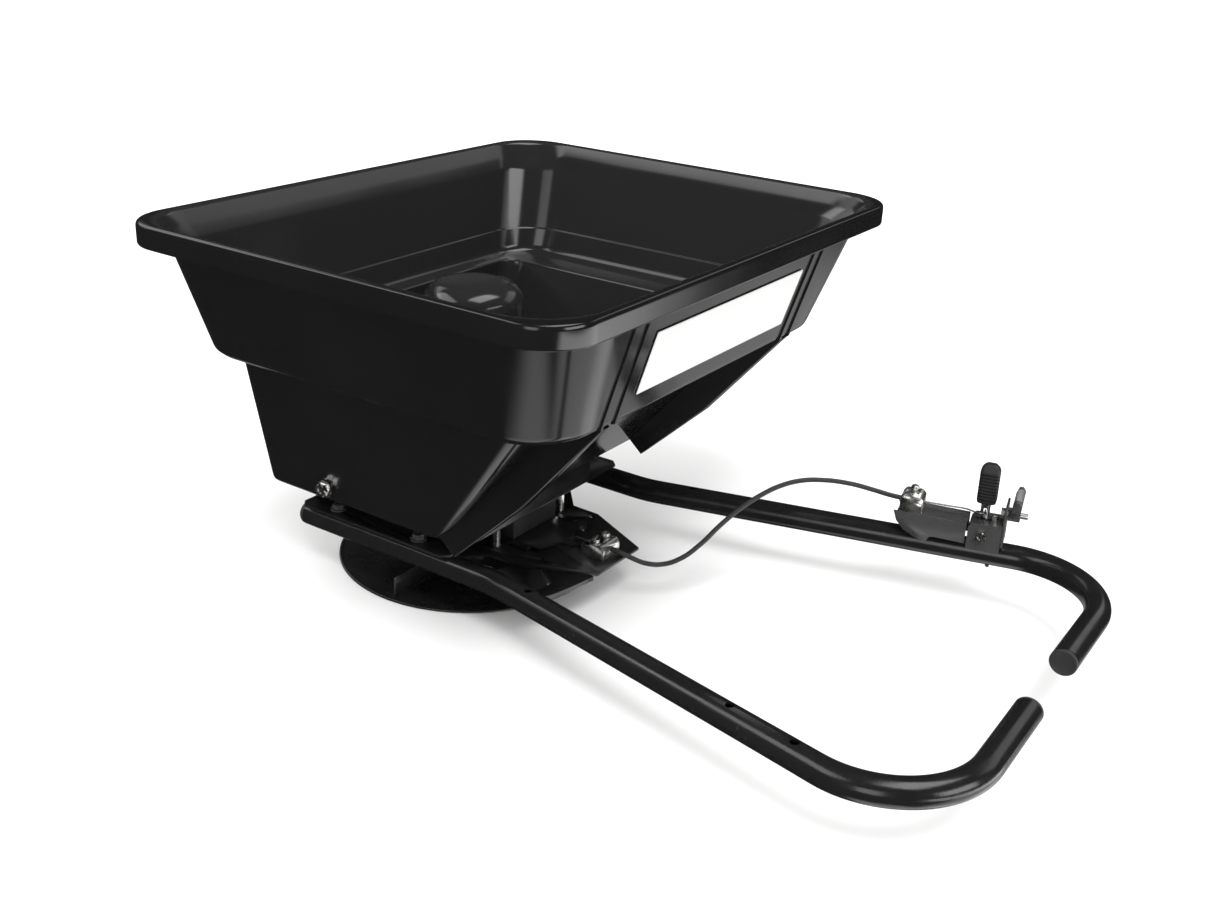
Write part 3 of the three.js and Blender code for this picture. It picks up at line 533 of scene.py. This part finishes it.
def hopper_shell(bm):
    """The hopper's wall: ring sizes up its outside, over the rim and down its inside."""
    skirt = HEIGHT - 18
    profile = [
        (body(FLOOR_Z, 6, 7), 0),
        (body(FLOOR_Z, 3, 9), 0),
        (body(FLOOR_Z + 3.2, 0, 12), 4),
        (body(SHELF_Z - 7, 0, 22), 0),
        (body(SHELF_Z - 4.4, 0, 22), 3),
        ((-318, 30, 212, 42, 52, SHELF_Z - 2.2), 3),
        (basin(SHELF_Z + 3, 0, 46), 3),
        (basin(HEIGHT - 24, 0, 54), 3),
        (rim(HEIGHT - 13, 11.4, 62), 3),
        (rim(HEIGHT - 7, 7.5, 62), 2),
        (rim(HEIGHT - 5.5, 3.2, 42), 1.5),
        (rim(skirt + 1, 2.6, 42), 0),
        (rim(skirt, 1.9, 42), 0.3),
        (rim(skirt, 0.5, 42), 0.3),
        (rim(skirt + 1, 0, 42), 0.6),
        (rim(HEIGHT - 0.6, 0, 42), 4.2),
        (rim(HEIGHT, 4.2, 54), 2.4),
        (rim(HEIGHT - 0.4, 8.2, 62), 4),
        (rim(HEIGHT - 13, 14.4, 62), 4),
        (basin(HEIGHT - 24, WALL, 51), 3),
        (basin(SHELF_Z + 26, WALL, 47), 0.3),
        (basin(SHELF_Z + 25, WALL + 0.9, 46), 0.3),
        (basin(SHELF_Z + 4, WALL + 0.9, 42), 6),
        ((-311, 25, 206, 36, 52, SHELF_Z + 0.8), 5),
        (body(SHELF_Z - 1.5, WALL + 1, 19, 26), 3.4),
        (body(SHELF_Z - 8, WALL + 1, 19, 24), 2),
        (body(FLOOR_Z + 6, WALL + 0.4, 10), 5),
        (body(FLOOR_Z + WALL, WALL + 8, 6), 0),
    ]
    specs = [size for size, _ in profile]
    cuts = [reach for _, reach in profile]
    loft(bm, [ring(*size) for size in rounded(specs, cuts)])


def slab(bm, outline, y0, y1, edge=1.4):
    """An outline in X and Z between two Y planes, with rounded long edges."""
    centre = Vector((sum(p[0] for p in outline), sum(p[1] for p in outline))) / len(outline)
    rows = [(y0, edge), (y0 + edge * 0.4, edge * 0.25), (y0 + edge, 0)]
    rows += [(y1 - edge, 0), (y1 - edge * 0.4, edge * 0.25), (y1, edge)]
    rings = []
    for y, share in rows:
        points = []
        for x, z in outline:
            toward = (centre - Vector((x, z))).normalized() * share
            points.append((x + toward.x, y, z + toward.y))
        rings.append(points)
    loft(bm, rings)


# Ribs on the sloping front wall, two on each side of the label.
FRONT_RIBS = {-1: (-153, -135), 1: (121, 137)}
CHEEK_Y = 140
CHEEK_HALF = 5
OUTLET_REAR = -158
OUTLET_FRONT = -134
OUTLET_HALF = 30
HOPPER_BOLT_X = -243
HOPPER_BOLT_Z = 106


def front_rib(bm, y, half=2.6, proud=1.5, sunk=1.2):
    """A low rounded rib up the front wall, from the ledge to the rim's skirt."""
    section = [(-half, -sunk), (-half, 0.0), (-half * 0.55, proud)]
    section += [(half * 0.55, proud), (half, 0.0), (half, -sunk)]
    rings = []
    for z in (SHELF_Z + 1, SHELF_Z + 4, HEIGHT - 24, HEIGHT - 14):
        wall = basin(z, 0, 46)[1]
        rings.append([(wall + dx, y + dy, z) for dy, dx in section])
    loft(bm, rings)


def make_hopper():
    bm = bmesh.new()
    hopper_shell(bm)
    shell = mesh_object("hopper_shell", bm)
    cheek = [(-107, 81), (-40, 144), (33, 230), (31, 231.5), (-8, 231.5), (-126, 96), (-121, 93)]
    for side in (-1, 1):
        for y in FRONT_RIBS[side]:
            bm = bmesh.new()
            front_rib(bm, y)
            cut(shell, mesh_object("front_rib", bm), "UNION")
        bm = bmesh.new()
        slab(bm, cheek, side * CHEEK_Y - CHEEK_HALF, side * CHEEK_Y + CHEEK_HALF)
        rib = mesh_object("rib", bm)
        bm = bmesh.new()
        sizes = [
            body(FLOOR_Z + WALL, WALL + 5, 7),
            body(FLOOR_Z + 8, WALL, 9),
            body(SHELF_Z - 4, WALL + 0.5, 19),
        ]
        loft(bm, [ring(*size) for size in sizes])
        cut(rib, mesh_object("inside", bm))
        cut(shell, rib, "UNION")
    centre = Matrix.Translation((SPIN_X, 0, 0))
    bm = bmesh.new()
    tower = [(45.5, FLOOR_Z + 1), (45.5, 96), (45.2, 243), (44.9, 246.6), (44.1, 250.2)]
    tower += [(42.8, 253.6), (40.8, 256.8), (38.2, 259.6), (35, 261.8), (31, 263.3)]
    tower += [(26, 263.9), (20, 264), (0, 264)]
    turned(bm, [(0, FLOOR_Z + 1), *tower], centre, 72)
    cut(shell, mesh_object("tower", bm), "UNION")
    bm = bmesh.new()
    turned(bm, [(0, 80), (41, 80), (40.5, 250), (36, 258), (0, 260.5)], centre, 48)
    cut(shell, mesh_object("cavity", bm))
    bm = bmesh.new()
    mouth = [(OUTLET_REAR, -OUTLET_HALF), (OUTLET_FRONT, -OUTLET_HALF)]
    mouth += [(OUTLET_FRONT, OUTLET_HALF), (OUTLET_REAR, OUTLET_HALF)]
    loft(bm, [[(x, y, z) for x, y in mouth] for z in (80, 100)])
    cut(shell, mesh_object("outlet", bm))
    shell.name = "hopper_bin_fine"
    finish_piece(shell, "hopper_bin", sharp=34.0)


make_hopper()

# ---- Rails ----

TUBE_RADIUS = 11.0
TUBE_WALL = 1.6
RAIL_REAR = -297.0
SPLAY_BEND = 120.0
HOOK_BEND = 75.0
RAIL_END_Y = 43.0
RAIL_HOLES = (-42, 171, 228)
HOLE_RADIUS = 3.6
GROOVE_REAR = -96
GROOVE_FRONT = 262
GROOVE_END_Y = 60
GROOVE_DEPTH = 2.6
GROOVE_TURN = math.radians(32)
GROOVE_SPREAD = 19


def rail_z(x):
    return RAIL_Z + RISE * max(0.0, x - SPLAY_X)


def rail_line():
    """The left rail's centre line as points in millimetres, fine in the bends."""
    splay = math.atan(SPLAY)
    hook = math.pi / 2 + splay
    reach = SPLAY_BEND * math.tan(splay / 2)
    points = [(RAIL_REAR, RAIL_Y), (-200, RAIL_Y)]
    for i in range(9):
        a = splay * i / 8
        bent = RAIL_Y + SPLAY_BEND * (1 - math.cos(a))
        points.append((SPLAY_X - reach + SPLAY_BEND * math.sin(a), bent))
    front = cad_high.x / MM - TUBE_RADIUS
    centre_x = front - HOOK_BEND
    start_x = centre_x - HOOK_BEND * math.sin(splay)
    start_y = RAIL_Y + SPLAY * (start_x - SPLAY_X)
    centre_y = start_y - HOOK_BEND * math.cos(splay)
    x = -60.0
    while x < start_x - 6:
        points.append((x, RAIL_Y + SPLAY * (x - SPLAY_X)))
        x += 6.0
    for i in range(29):
        a = hook - hook * i / 28
        points.append((centre_x + HOOK_BEND * math.cos(a), centre_y + HOOK_BEND * math.sin(a)))
    points.append((front, RAIL_END_Y))
    return [Vector((x, y, rail_z(x))) for x, y in points]


def crease(x, y, side):
    """How deep the pressed groove on the outer lower side is at one place along the rail."""
    if side > 0 or y < GROOVE_END_Y:
        return 0.0
    rise = min(1.0, max(0.0, (x - GROOVE_REAR) / 24))
    fall = min(1.0, max(0.0, (GROOVE_FRONT - x) / 34))
    return min(rise, fall)


def rail_rings(side, radius, count):
    """Rings of a tube's surface along the rail, pressed in where the groove runs."""
    line = rail_line()
    rings = []
    for i, point in enumerate(line):
        ahead = line[min(i + 1, len(line) - 1)] - line[max(i - 1, 0)]
        ahead.normalize()
        across = Vector((-ahead.y, ahead.x, 0)).normalized()
        up = ahead.cross(across)
        depth = crease(point.x, point.y, side) * GROOVE_DEPTH
        points = []
        for k in range(count):
            a = 2 * math.pi * k / count
            turn = a + GROOVE_TURN
            off = math.degrees(math.atan2(math.sin(turn), math.cos(turn)))
            r = radius - depth * math.exp(-((off / GROOVE_SPREAD) ** 4))
            p = point + across * (r * math.cos(a)) + up * (r * math.sin(a))
            points.append((p.x, side * p.y, p.z))
        rings.append(points)
    return rings


def make_rail(name, side):
    bm = bmesh.new()
    outer = rail_rings(side, TUBE_RADIUS, 64)
    inner = rail_rings(side, TUBE_RADIUS - TUBE_WALL, 64)
    rims = []
    for end in (0, -1):
        pairs = zip(outer[end], inner[end])
        rims.append([tuple(Vector(a).lerp(Vector(b), 0.15)) for a, b in pairs])
    loft(bm, [rims[0], *outer, rims[1], *reversed(inner)], closed=True)
    tube = mesh_object(f"rail_{name}_fine", bm)
    for x in RAIL_HOLES:
        bm = bmesh.new()
        y = side * (RAIL_Y + SPLAY * (x - SPLAY_X))
        drill = [(HOLE_RADIUS, 30), (HOLE_RADIUS, 80)]
        turned(bm, drill, Matrix.Translation((x, y, 0)), 28)
        cut(tube, mesh_object("drill", bm))
    finish_piece(tube, f"rail_{name}", sharp=42.0)


def make_plugs(name, side):
    bm = bmesh.new()
    rear = [(0, 0), (9, 0), (9, 8.2), (10.9, 8.3), (11, 9), (10.7, 10.8), (9.8, 12.4)]
    rear += [(8, 13.5), (5, 14.2), (0, 14.4)]
    matrix = along((RAIL_REAR + 8, side * RAIL_Y, RAIL_Z), (-1, 0, 0))
    turned(bm, rear, matrix, 48)
    finish_piece(mesh_object(f"rail_plug_rear_{name}_fine", bm), f"rail_plug_rear_{name}", sharp=50)
    bm = bmesh.new()
    front_x = cad_high.x / MM - TUBE_RADIUS
    front = [(0, -3), (9, -3), (9, 8.2), (10.8, 8.3), (11, 8.6), (11, 10.2), (10.6, 10.9)]
    front += [(9.9, 11.2), (9.4, 11.0), (9.0, 10.7), (0, 10.7)]
    matrix = along((front_x, side * (RAIL_END_Y + 8), rail_z(front_x)), (0, -side, 0))
    turned(bm, front, matrix, 48)
    finish_piece(mesh_object(f"rail_plug_front_{name}_fine", bm), f"rail_plug_front_{name}", sharp=50)


for rail_name, rail_side in (("right", -1), ("left", 1)):
    make_rail(rail_name, rail_side)
    make_plugs(rail_name, rail_side)

# ---- Spinner ----


def make_disc():
    radius = 124.8
    centre = Matrix.Translation((SPIN_X, 0, 0))
    bm = bmesh.new()
    disc = [(0, 0), (radius - 1.2, 0), (radius - 0.3, 0.4), (radius, 1.2), (radius - 0.1, 2.0)]
    disc += [(radius - 0.5, 2.4), (radius - 1.6, 2.4), (radius - 3.2, 2.05)]
    disc += [(radius - 4.2, 2.0), (0, 2.0)]
    turned(bm, disc, centre, 160)
    finish_piece(mesh_object("spinner_disc_fine", bm), "spinner_disc", sharp=50)
    bm = bmesh.new()
    hub = [(0, 2.3), (19.4, 2.3), (20, 2.9), (20, 5.5), (19.3, 6.2), (13.2, 7.6), (12, 8.8)]
    hub += [(11.2, 29.2), (10.5, 30), (5.6, 30), (5.4, 29.6), (5.4, 9.8), (0, 9.8)]
    turned(bm, hub, centre, 64)
    finish_piece(mesh_object("spinner_hub_fine", bm), "spinner_hub", sharp=40)
    bm = bmesh.new()
    turned(bm, [(0, 10), (4.6, 10), (5, 10.4), (5, 117.6), (0, 118)], centre, 40)
    finish_piece(mesh_object("drive_shaft_fine", bm), "drive_shaft", sharp=40)


def rivet(bm, matrix, radius, height):
    """A domed rivet head standing on the plane of matrix."""
    profile = [(0, 0), (radius, 0), (radius, height * 0.3), (radius * 0.86, height * 0.68)]
    profile += [(radius * 0.5, height * 0.93), (0, height)]
    turned(bm, profile, matrix, 20)


WEB_MIDDLE = 70


def make_fin(index):
    bm = bmesh.new()
    name = f"spinner_fin_{index + 1}"
    turn = Matrix.Translation((SPIN_X, 0, 0)) @ Matrix.Rotation(index * math.pi / 2, 4, "Z")
    web = [(24, 2.3), (119, 2.3), (119, 17.4), (118.3, 19.4), (116.4, 20.7), (114.5, 21)]
    web += [(36, 21), (33.5, 20.5), (24, 11)]
    rows = []
    for y, share in ((8.0, 0.35), (8.3, 0), (9.5, 0), (9.8, 0.35)):
        drawn = [(x - math.copysign(share, x - WEB_MIDDLE), z - share) for x, z in web]
        rows.append([turn @ Vector((x, y, z)) for x, z in drawn])
    loft(bm, rows)
    foot = [(24, -2), (118, -2), (118, 9), (24, 9)]
    loft(bm, [[turn @ Vector((x, y, z)) for x, y in foot] for z in (2.32, 3.9)])
    for x in (40, 72, 104):
        rivet(bm, turn @ Matrix.Translation((x, 2.6, 3.9)), 2.7, 1.3)
    finish_piece(mesh_object(f"{name}_fine", bm), name, sharp=40)


make_disc()
for fin in range(4):
    make_fin(fin)
refined("hub_screw", 0.3)

# ---- Bolts, nuts and screws ----


def hexagon(bm, matrix, across, z0, z1, bore, chamfer=0.6):
    """A hexagon with its corners turned off at the top and a shallow round recess in it."""
    corner = across / math.sqrt(3)
    count = 48
    rows = []
    for z, top in ((z0, 0), (z1 - chamfer, 0), (z1 - chamfer * 0.4, 1), (z1, 2)):
        points = []
        for i in range(count):
            a = 2 * math.pi * i / count
            local = (a % (math.pi / 3)) - math.pi / 6
            flat = across / 2 / math.cos(local)
            limit = (corner, corner * 0.955, corner * 0.89)[top]
            r = min(flat, limit)
            points.append(matrix @ Vector((r * math.cos(a), r * math.sin(a), z)))
        rows.append(points)
    for r, z in ((bore, z1), (bore - 0.3, z1 - 0.5)):
        rows.append([matrix @ Vector((x, y, z)) for x, y in circle(r, count)])
    loft(bm, rows)


def washer(bm, matrix, radius, z0, z1):
    turned(bm, [(0, z0), (radius, z0), (radius, z1 - 0.3), (radius - 0.4, z1), (0, z1)], matrix, 40)


def shank(bm, matrix, radius, z0, z1):
    turned(bm, [(0, z0), (radius - 0.5, z0), (radius, z0 + 0.5), (radius, z1), (0, z1)], matrix, 24)


def make_hopper_bolts():
    for name, side in (("right", -1), ("left", 1)):
        wall = body(HOPPER_BOLT_Z, 0, 0)[2]
        matrix = along((HOPPER_BOLT_X, side * wall, HOPPER_BOLT_Z), (0, side, 0))
        bm = bmesh.new()
        washer(bm, matrix, 7.6, 2.8, 4.3)
        hexagon(bm, matrix, 10.6, 4.2, 8.9, 2.6)
        shank(bm, matrix, 2.8, -13, 4)
        finish_piece(mesh_object(f"hopper_bolt_{name}_fine", bm), f"hopper_bolt_{name}")
        refined(f"hopper_nut_{name}", 0.4)


def make_deck_bolts():
    for place in ("rear", "front"):
        for name in ("right", "left"):
            low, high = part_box(f"deck_bolt_{place}_{name}")
            x, y = (low.x + high.x) / 2 / MM, (low.y + high.y) / 2 / MM
            bottom, top = low.z / MM, high.z / MM
            matrix = Matrix.Translation((x, y, 0))
            bm = bmesh.new()
            washer(bm, matrix, 7.3, top - 5.7, top - 4.2)
            hexagon(bm, matrix, 10, top - 4.3, top, 2.4)
            shank(bm, matrix, 2.9, bottom, top - 4)
            node_name = f"deck_bolt_{place}_{name}"
            finish_piece(mesh_object(f"{node_name}_fine", bm), node_name)


def control_bolt(name, point, axis, head_at, head, tip, across):
    """A hex bolt in the control's axes: head of the given height, shank down to tip."""
    bm = bmesh.new()
    matrix = CONTROL @ along(point, axis)
    hexagon(bm, matrix, across, head_at, head_at + head, across * 0.24)
    shank(bm, matrix, 2.7, tip, head_at + 0.2)
    finish_piece(mesh_object(f"{name}_fine", bm), name)


def screw(name, matrix, radius, z0, z1, tip, shank_radius):
    """A pan head screw with a cross recess."""
    bm = bmesh.new()
    profile = [(0, z0), (radius, z0), (radius, z0 + 1.2), (radius * 0.9, z1 - 0.7)]
    profile += [(radius * 0.62, z1), (0, z1)]
    turned(bm, profile, matrix, 32)
    obj = mesh_object(f"{name}_fine", bm)
    for turn in (0.4, 0.4 + math.pi / 2):
        bm = bmesh.new()
        spin = matrix @ Matrix.Rotation(turn, 4, "Z")
        half, width = radius * 0.55, 0.45
        cross = [(-half, -width), (half, -width), (half, width), (-half, width)]
        loft(bm, [[spin @ Vector((x, y, z)) for x, y in cross] for z in (z1 - 1.0, z1 + 1)])
        cut(obj, mesh_object("driver", bm))
    bm = bmesh.new()
    bm.from_mesh(obj.data)
    shank(bm, matrix, shank_radius, tip, z0 + 0.1)
    bm.to_mesh(obj.data)
    bm.free()
    finish_piece(obj, name)


make_hopper_bolts()
make_deck_bolts()
CLAMP_X = -60
CLAMP_SCREW_Y = 8
CASING_CLAMP_U = -33
CASING_CLAMP_SCREW_V = 7
for clamp_name, clamp_y in (("right", -CLAMP_SCREW_Y), ("left", CLAMP_SCREW_Y)):
    clamp_place = Matrix.Translation((CLAMP_X, clamp_y, 0))
    screw(f"clamp_screw_{clamp_name}", clamp_place, 4.1, 56.9, 60.4, 39.6, 1.9)
casing_place = CONTROL @ Matrix.Translation((CASING_CLAMP_U, CASING_CLAMP_SCREW_V, 0))
screw("casing_clamp_screw", casing_place, 3.8, 45.9, 49.4, 25.6, 1.8)

# ---- Plates, gate and what hides under the tower ----

for plain in (
    "label_plate",
    "outlet_throat",
    "deck_plate",
    "base_plate",
    "deflector_wing",
    "shutter_gate",
    "gate_guide_right",
    "gate_guide_left",
    "motor_plate",
    "motor_gearbox",
    "motor_can",
    "lead_gland",
    "cable_clamp",
    "casing_clamp",
):
    refined(plain, 0.5 if "clamp" in plain else 0.3)


def make_posts():
    for place in ("rear", "front"):
        for name in ("right", "left"):
            node_name = f"spacer_post_{place}_{name}"
            low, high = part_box(node_name)
            middle = (low + high) / 2 / MM
            z0, z1 = low.z / MM, high.z / MM
            bm = bmesh.new()
            post = [(0, z0), (4.2, z0), (4.6, z0 + 0.5), (4.6, z1 - 0.5), (4.2, z1), (0, z1)]
            turned(bm, post, Matrix.Translation((middle.x, middle.y, 0)), 32)
            finish_piece(mesh_object(f"{node_name}_fine", bm), node_name)


make_posts()

# ---- Control ----

WIRE_RADIUS = 0.8


def make_grip():
    """A grip with fine ribs over its upper part and a collar below."""
    bm = bmesh.new()
    rings = []

    def section(half_u, half_v, w, r=3.0):
        points = []
        for cu, cv, start in (
            (half_u - r, half_v - r, 0),
            (r - half_u, half_v - r, 90),
            (r - half_u, r - half_v, 180),
            (half_u - r, r - half_v, 270),
        ):
            corner = arc(cu, cv, r, start, start + 90, 6)
            points += [CONTROL @ Vector((PIVOT_U + x, y, w)) for x, y in corner]
        rings.append(points)

    section(7.0, 5.4, 47.5)
    section(7.9, 6.3, 48.3)
    section(8.2, 6.5, 49.6)
    w = 51.0
    while w < 76:
        for dw, grow in ((0.0, 0.0), (0.3, -1.1), (1.3, -1.1), (1.6, 0.0)):
            section(8.5 + grow, 6.8 + grow, w + dw)
        w += 2.9
    section(8.5, 6.8, 76.6)
    section(8.2, 6.5, 78.6)
    section(7.2, 5.6, 81.0)
    section(5.6, 4.6, 82.9, 2.6)
    section(4.4, 3.5, 84.0, 2.2)
    loft(bm, rings)
    finish_piece(mesh_object("lever_grip_fine", bm), "lever_grip", sharp=30)


def make_wire(name, points, parent):
    round_wire(name, [parent @ Vector(p) for p in points], WIRE_RADIUS * MM, 8, 4)


make_grip()
make_wire(
    "inner_wire_lever",
    [(-34, 0, WIRE_W), (0, 0, WIRE_W), (14, 0, WIRE_W), (22, -3.2, WIRE_W), (28.4, -4.2, WIRE_W)]
    + [(29.8, -3.4, WIRE_W), (30, -2, WIRE_W), (30, 4.5, WIRE_W)],
    CONTROL,
)
make_wire(
    "inner_wire_gate",
    [(-88, 0, 43.6), (-88, 0, 48.9), (-87.4, 0, 50)]
    + [(-86, 0, CABLE_Z), (-72, 0, CABLE_Z), (-58, 0, CABLE_Z)],
    Matrix.Identity(4),
)
refined("control_bracket")
refined("rail_saddle", bevel=0.9, segments=3)
for shaped in ("stop_plate", "control_lever", "wing_nut", "pivot_nut"):
    refined(shaped)
BRACKET_HOLE, SADDLE_HOLE = ((x - CONTROL_X) / CONTROL.col[0].x for x in RAIL_HOLES[1:])
control_bolt("bracket_bolt", (BRACKET_HOLE, 0, 0), (0, 0, 1), 13.3, 3.7, -10.5, 9.0)
control_bolt("saddle_bolt", (SADDLE_HOLE, 0, 0), (0, 0, 1), 32.3, 3.2, -13.5, 6.2)
control_bolt("stop_bolt", (0, 0, STOP_W), (1, 0, 0), 43.6, 3.4, 66, 8.4)
control_bolt("pivot_bolt", (PIVOT_U, 0, PIVOT_W), (0, -1, 0), 14.8, 3.6, -19.5, 9.0)

# ---- Floor, light and backdrop ----


def make_floor():
    bm = bmesh.new()
    bmesh.ops.create_grid(bm, x_segments=1, y_segments=1, size=30.0)
    floor = mesh_object("floor", bm)
    floor.location.z = -0.0004
    made = Finish("floor_paper", IOR=1.3)
    made.paint(made.colour((0.90, 0.90, 0.895), (0.915, 0.915, 0.91), made.noise(3.0, 2.0)))
    made.shader.inputs["Roughness"].default_value = 0.95
    made.shader.inputs["Specular IOR Level"].default_value = 0.0
    floor.data.materials.append(made.material)
    floor.visible_glossy = False


# Soft boxes that only gloss sees. Azimuth runs from +X towards +Y, and all angles are in
# degrees: azimuth, elevation, half width, half height, strength.
SOFT_BOXES = (
    (0.0, 12.0, 18.0, 13.0, 6.0),
    (-77.0, 12.0, 11.0, 15.0, 3.5),
    (14.0, -23.0, 40.0, 8.0, 4.5),
    (34.0, -50.0, 26.0, 18.0, 1.6),
    (70.0, -38.0, 16.0, 14.0, 0.8),
    (117.0, -32.0, 28.0, 16.0, 0.4),
    (0.0, -82.0, 24.0, 16.0, 1.6),
    (-143.0, 45.0, 26.0, 12.0, 3.5),
    (10.0, 74.0, 24.0, 14.0, 6.0),
    (180.0, 30.0, 30.0, 12.0, 1.5),
    (66.0, 30.0, 22.0, 10.0, 1.2),
)
GLOSS_FLOOR = 0.03
BORDER_OUTSIDE = 1.2
BORDER_INSIDE = 0.75
FRONT_ONLY = 0.05


def soft_box(tree, direction, azimuth, elevation, half_width, half_height, strength):
    """A rectangle of light with a soft border, as a share of the direction that is looked in."""
    a, e = math.radians(azimuth), math.radians(elevation)
    ahead = Vector((math.cos(a) * math.cos(e), math.sin(a) * math.cos(e), math.sin(e)))
    across = Vector((-math.sin(a), math.cos(a), 0))
    up = ahead.cross(across)

    def dot(axis):
        made = node(tree, "ShaderNodeVectorMath", operation="DOT_PRODUCT")
        made.inputs[1].default_value = axis
        tree.links.new(direction, made.inputs[0])
        return made.outputs["Value"]

    def math_node(operation, *values):
        made = node(tree, "ShaderNodeMath", operation=operation)
        for socket, value in zip(made.inputs, values):
            if isinstance(value, float):
                socket.default_value = value
            else:
                tree.links.new(value, socket)
        return made.outputs[0]

    def window(value, half):
        made = node(tree, "ShaderNodeMapRange", interpolation_type="SMOOTHSTEP")
        reach = math.tan(math.radians(half))
        made.inputs["From Min"].default_value = reach * BORDER_OUTSIDE
        made.inputs["From Max"].default_value = reach * BORDER_INSIDE
        tree.links.new(value, made.inputs["Value"])
        return made.outputs["Result"]

    depth = dot(ahead)
    front = math_node("GREATER_THAN", depth, FRONT_ONLY)
    safe = math_node("MAXIMUM", depth, FRONT_ONLY)
    side = math_node("ABSOLUTE", math_node("DIVIDE", dot(across), safe))
    rise = math_node("ABSOLUTE", math_node("DIVIDE", dot(up), safe))
    both = math_node("MULTIPLY", window(side, half_width), window(rise, half_height))
    lit = math_node("MULTIPLY", both, front)
    return math_node("MULTIPLY", lit, strength)


def make_world():
    world = bpy.data.worlds.new("studio")
    scene.world = world
    world.use_nodes = True
    world.cycles.sampling_method = "NONE"
    tree = world.node_tree
    tree.nodes.clear()
    direction = node(tree, "ShaderNodeTexCoord").outputs["Generated"]
    total = None
    for box in SOFT_BOXES:
        light = soft_box(tree, direction, *box)
        add = node(tree, "ShaderNodeMath", operation="ADD")
        add.inputs[1].default_value = GLOSS_FLOOR
        if total is not None:
            tree.links.new(total, add.inputs[1])
        tree.links.new(light, add.inputs[0])
        total = add.outputs[0]
    gloss = node(tree, "ShaderNodeBackground")
    tree.links.new(total, gloss.inputs["Strength"])
    plain = node(tree, "ShaderNodeBackground", Strength=1.55)
    backdrop = node(tree, "ShaderNodeBackground", Strength=1.5)
    rays = node(tree, "ShaderNodeLightPath")
    out = node(tree, "ShaderNodeOutputWorld")
    shown = plain
    for light, ray in ((backdrop, "Is Camera Ray"), (gloss, "Is Glossy Ray")):
        mix = node(tree, "ShaderNodeMixShader")
        tree.links.new(rays.outputs[ray], mix.inputs[0])
        tree.links.new(shown.outputs[0], mix.inputs[1])
        tree.links.new(light.outputs[0], mix.inputs[2])
        shown = mix
    tree.links.new(shown.outputs[0], out.inputs["Surface"])


def make_lights():
    """A broad sun-like key from above and a weak fill on the left; neither shows in gloss."""
    for name, toward, spread, strength in (
        ("key", (0.35, -0.40, 0.85), 24.0, 2.1),
        ("fill", (-0.70, -0.55, 0.46), 60.0, 0.35),
    ):
        data = bpy.data.lights.new(name, "SUN")
        data.angle = math.radians(spread)
        data.energy = strength
        light = bpy.data.objects.new(name, data)
        light.visible_glossy = False
        light.rotation_euler = Vector(toward).to_track_quat("Z", "Y").to_euler()
        scene.collection.objects.link(light)


make_floor()
make_world()
make_lights()
scene.view_settings.view_transform = "Standard"
scene.view_settings.look = "None"
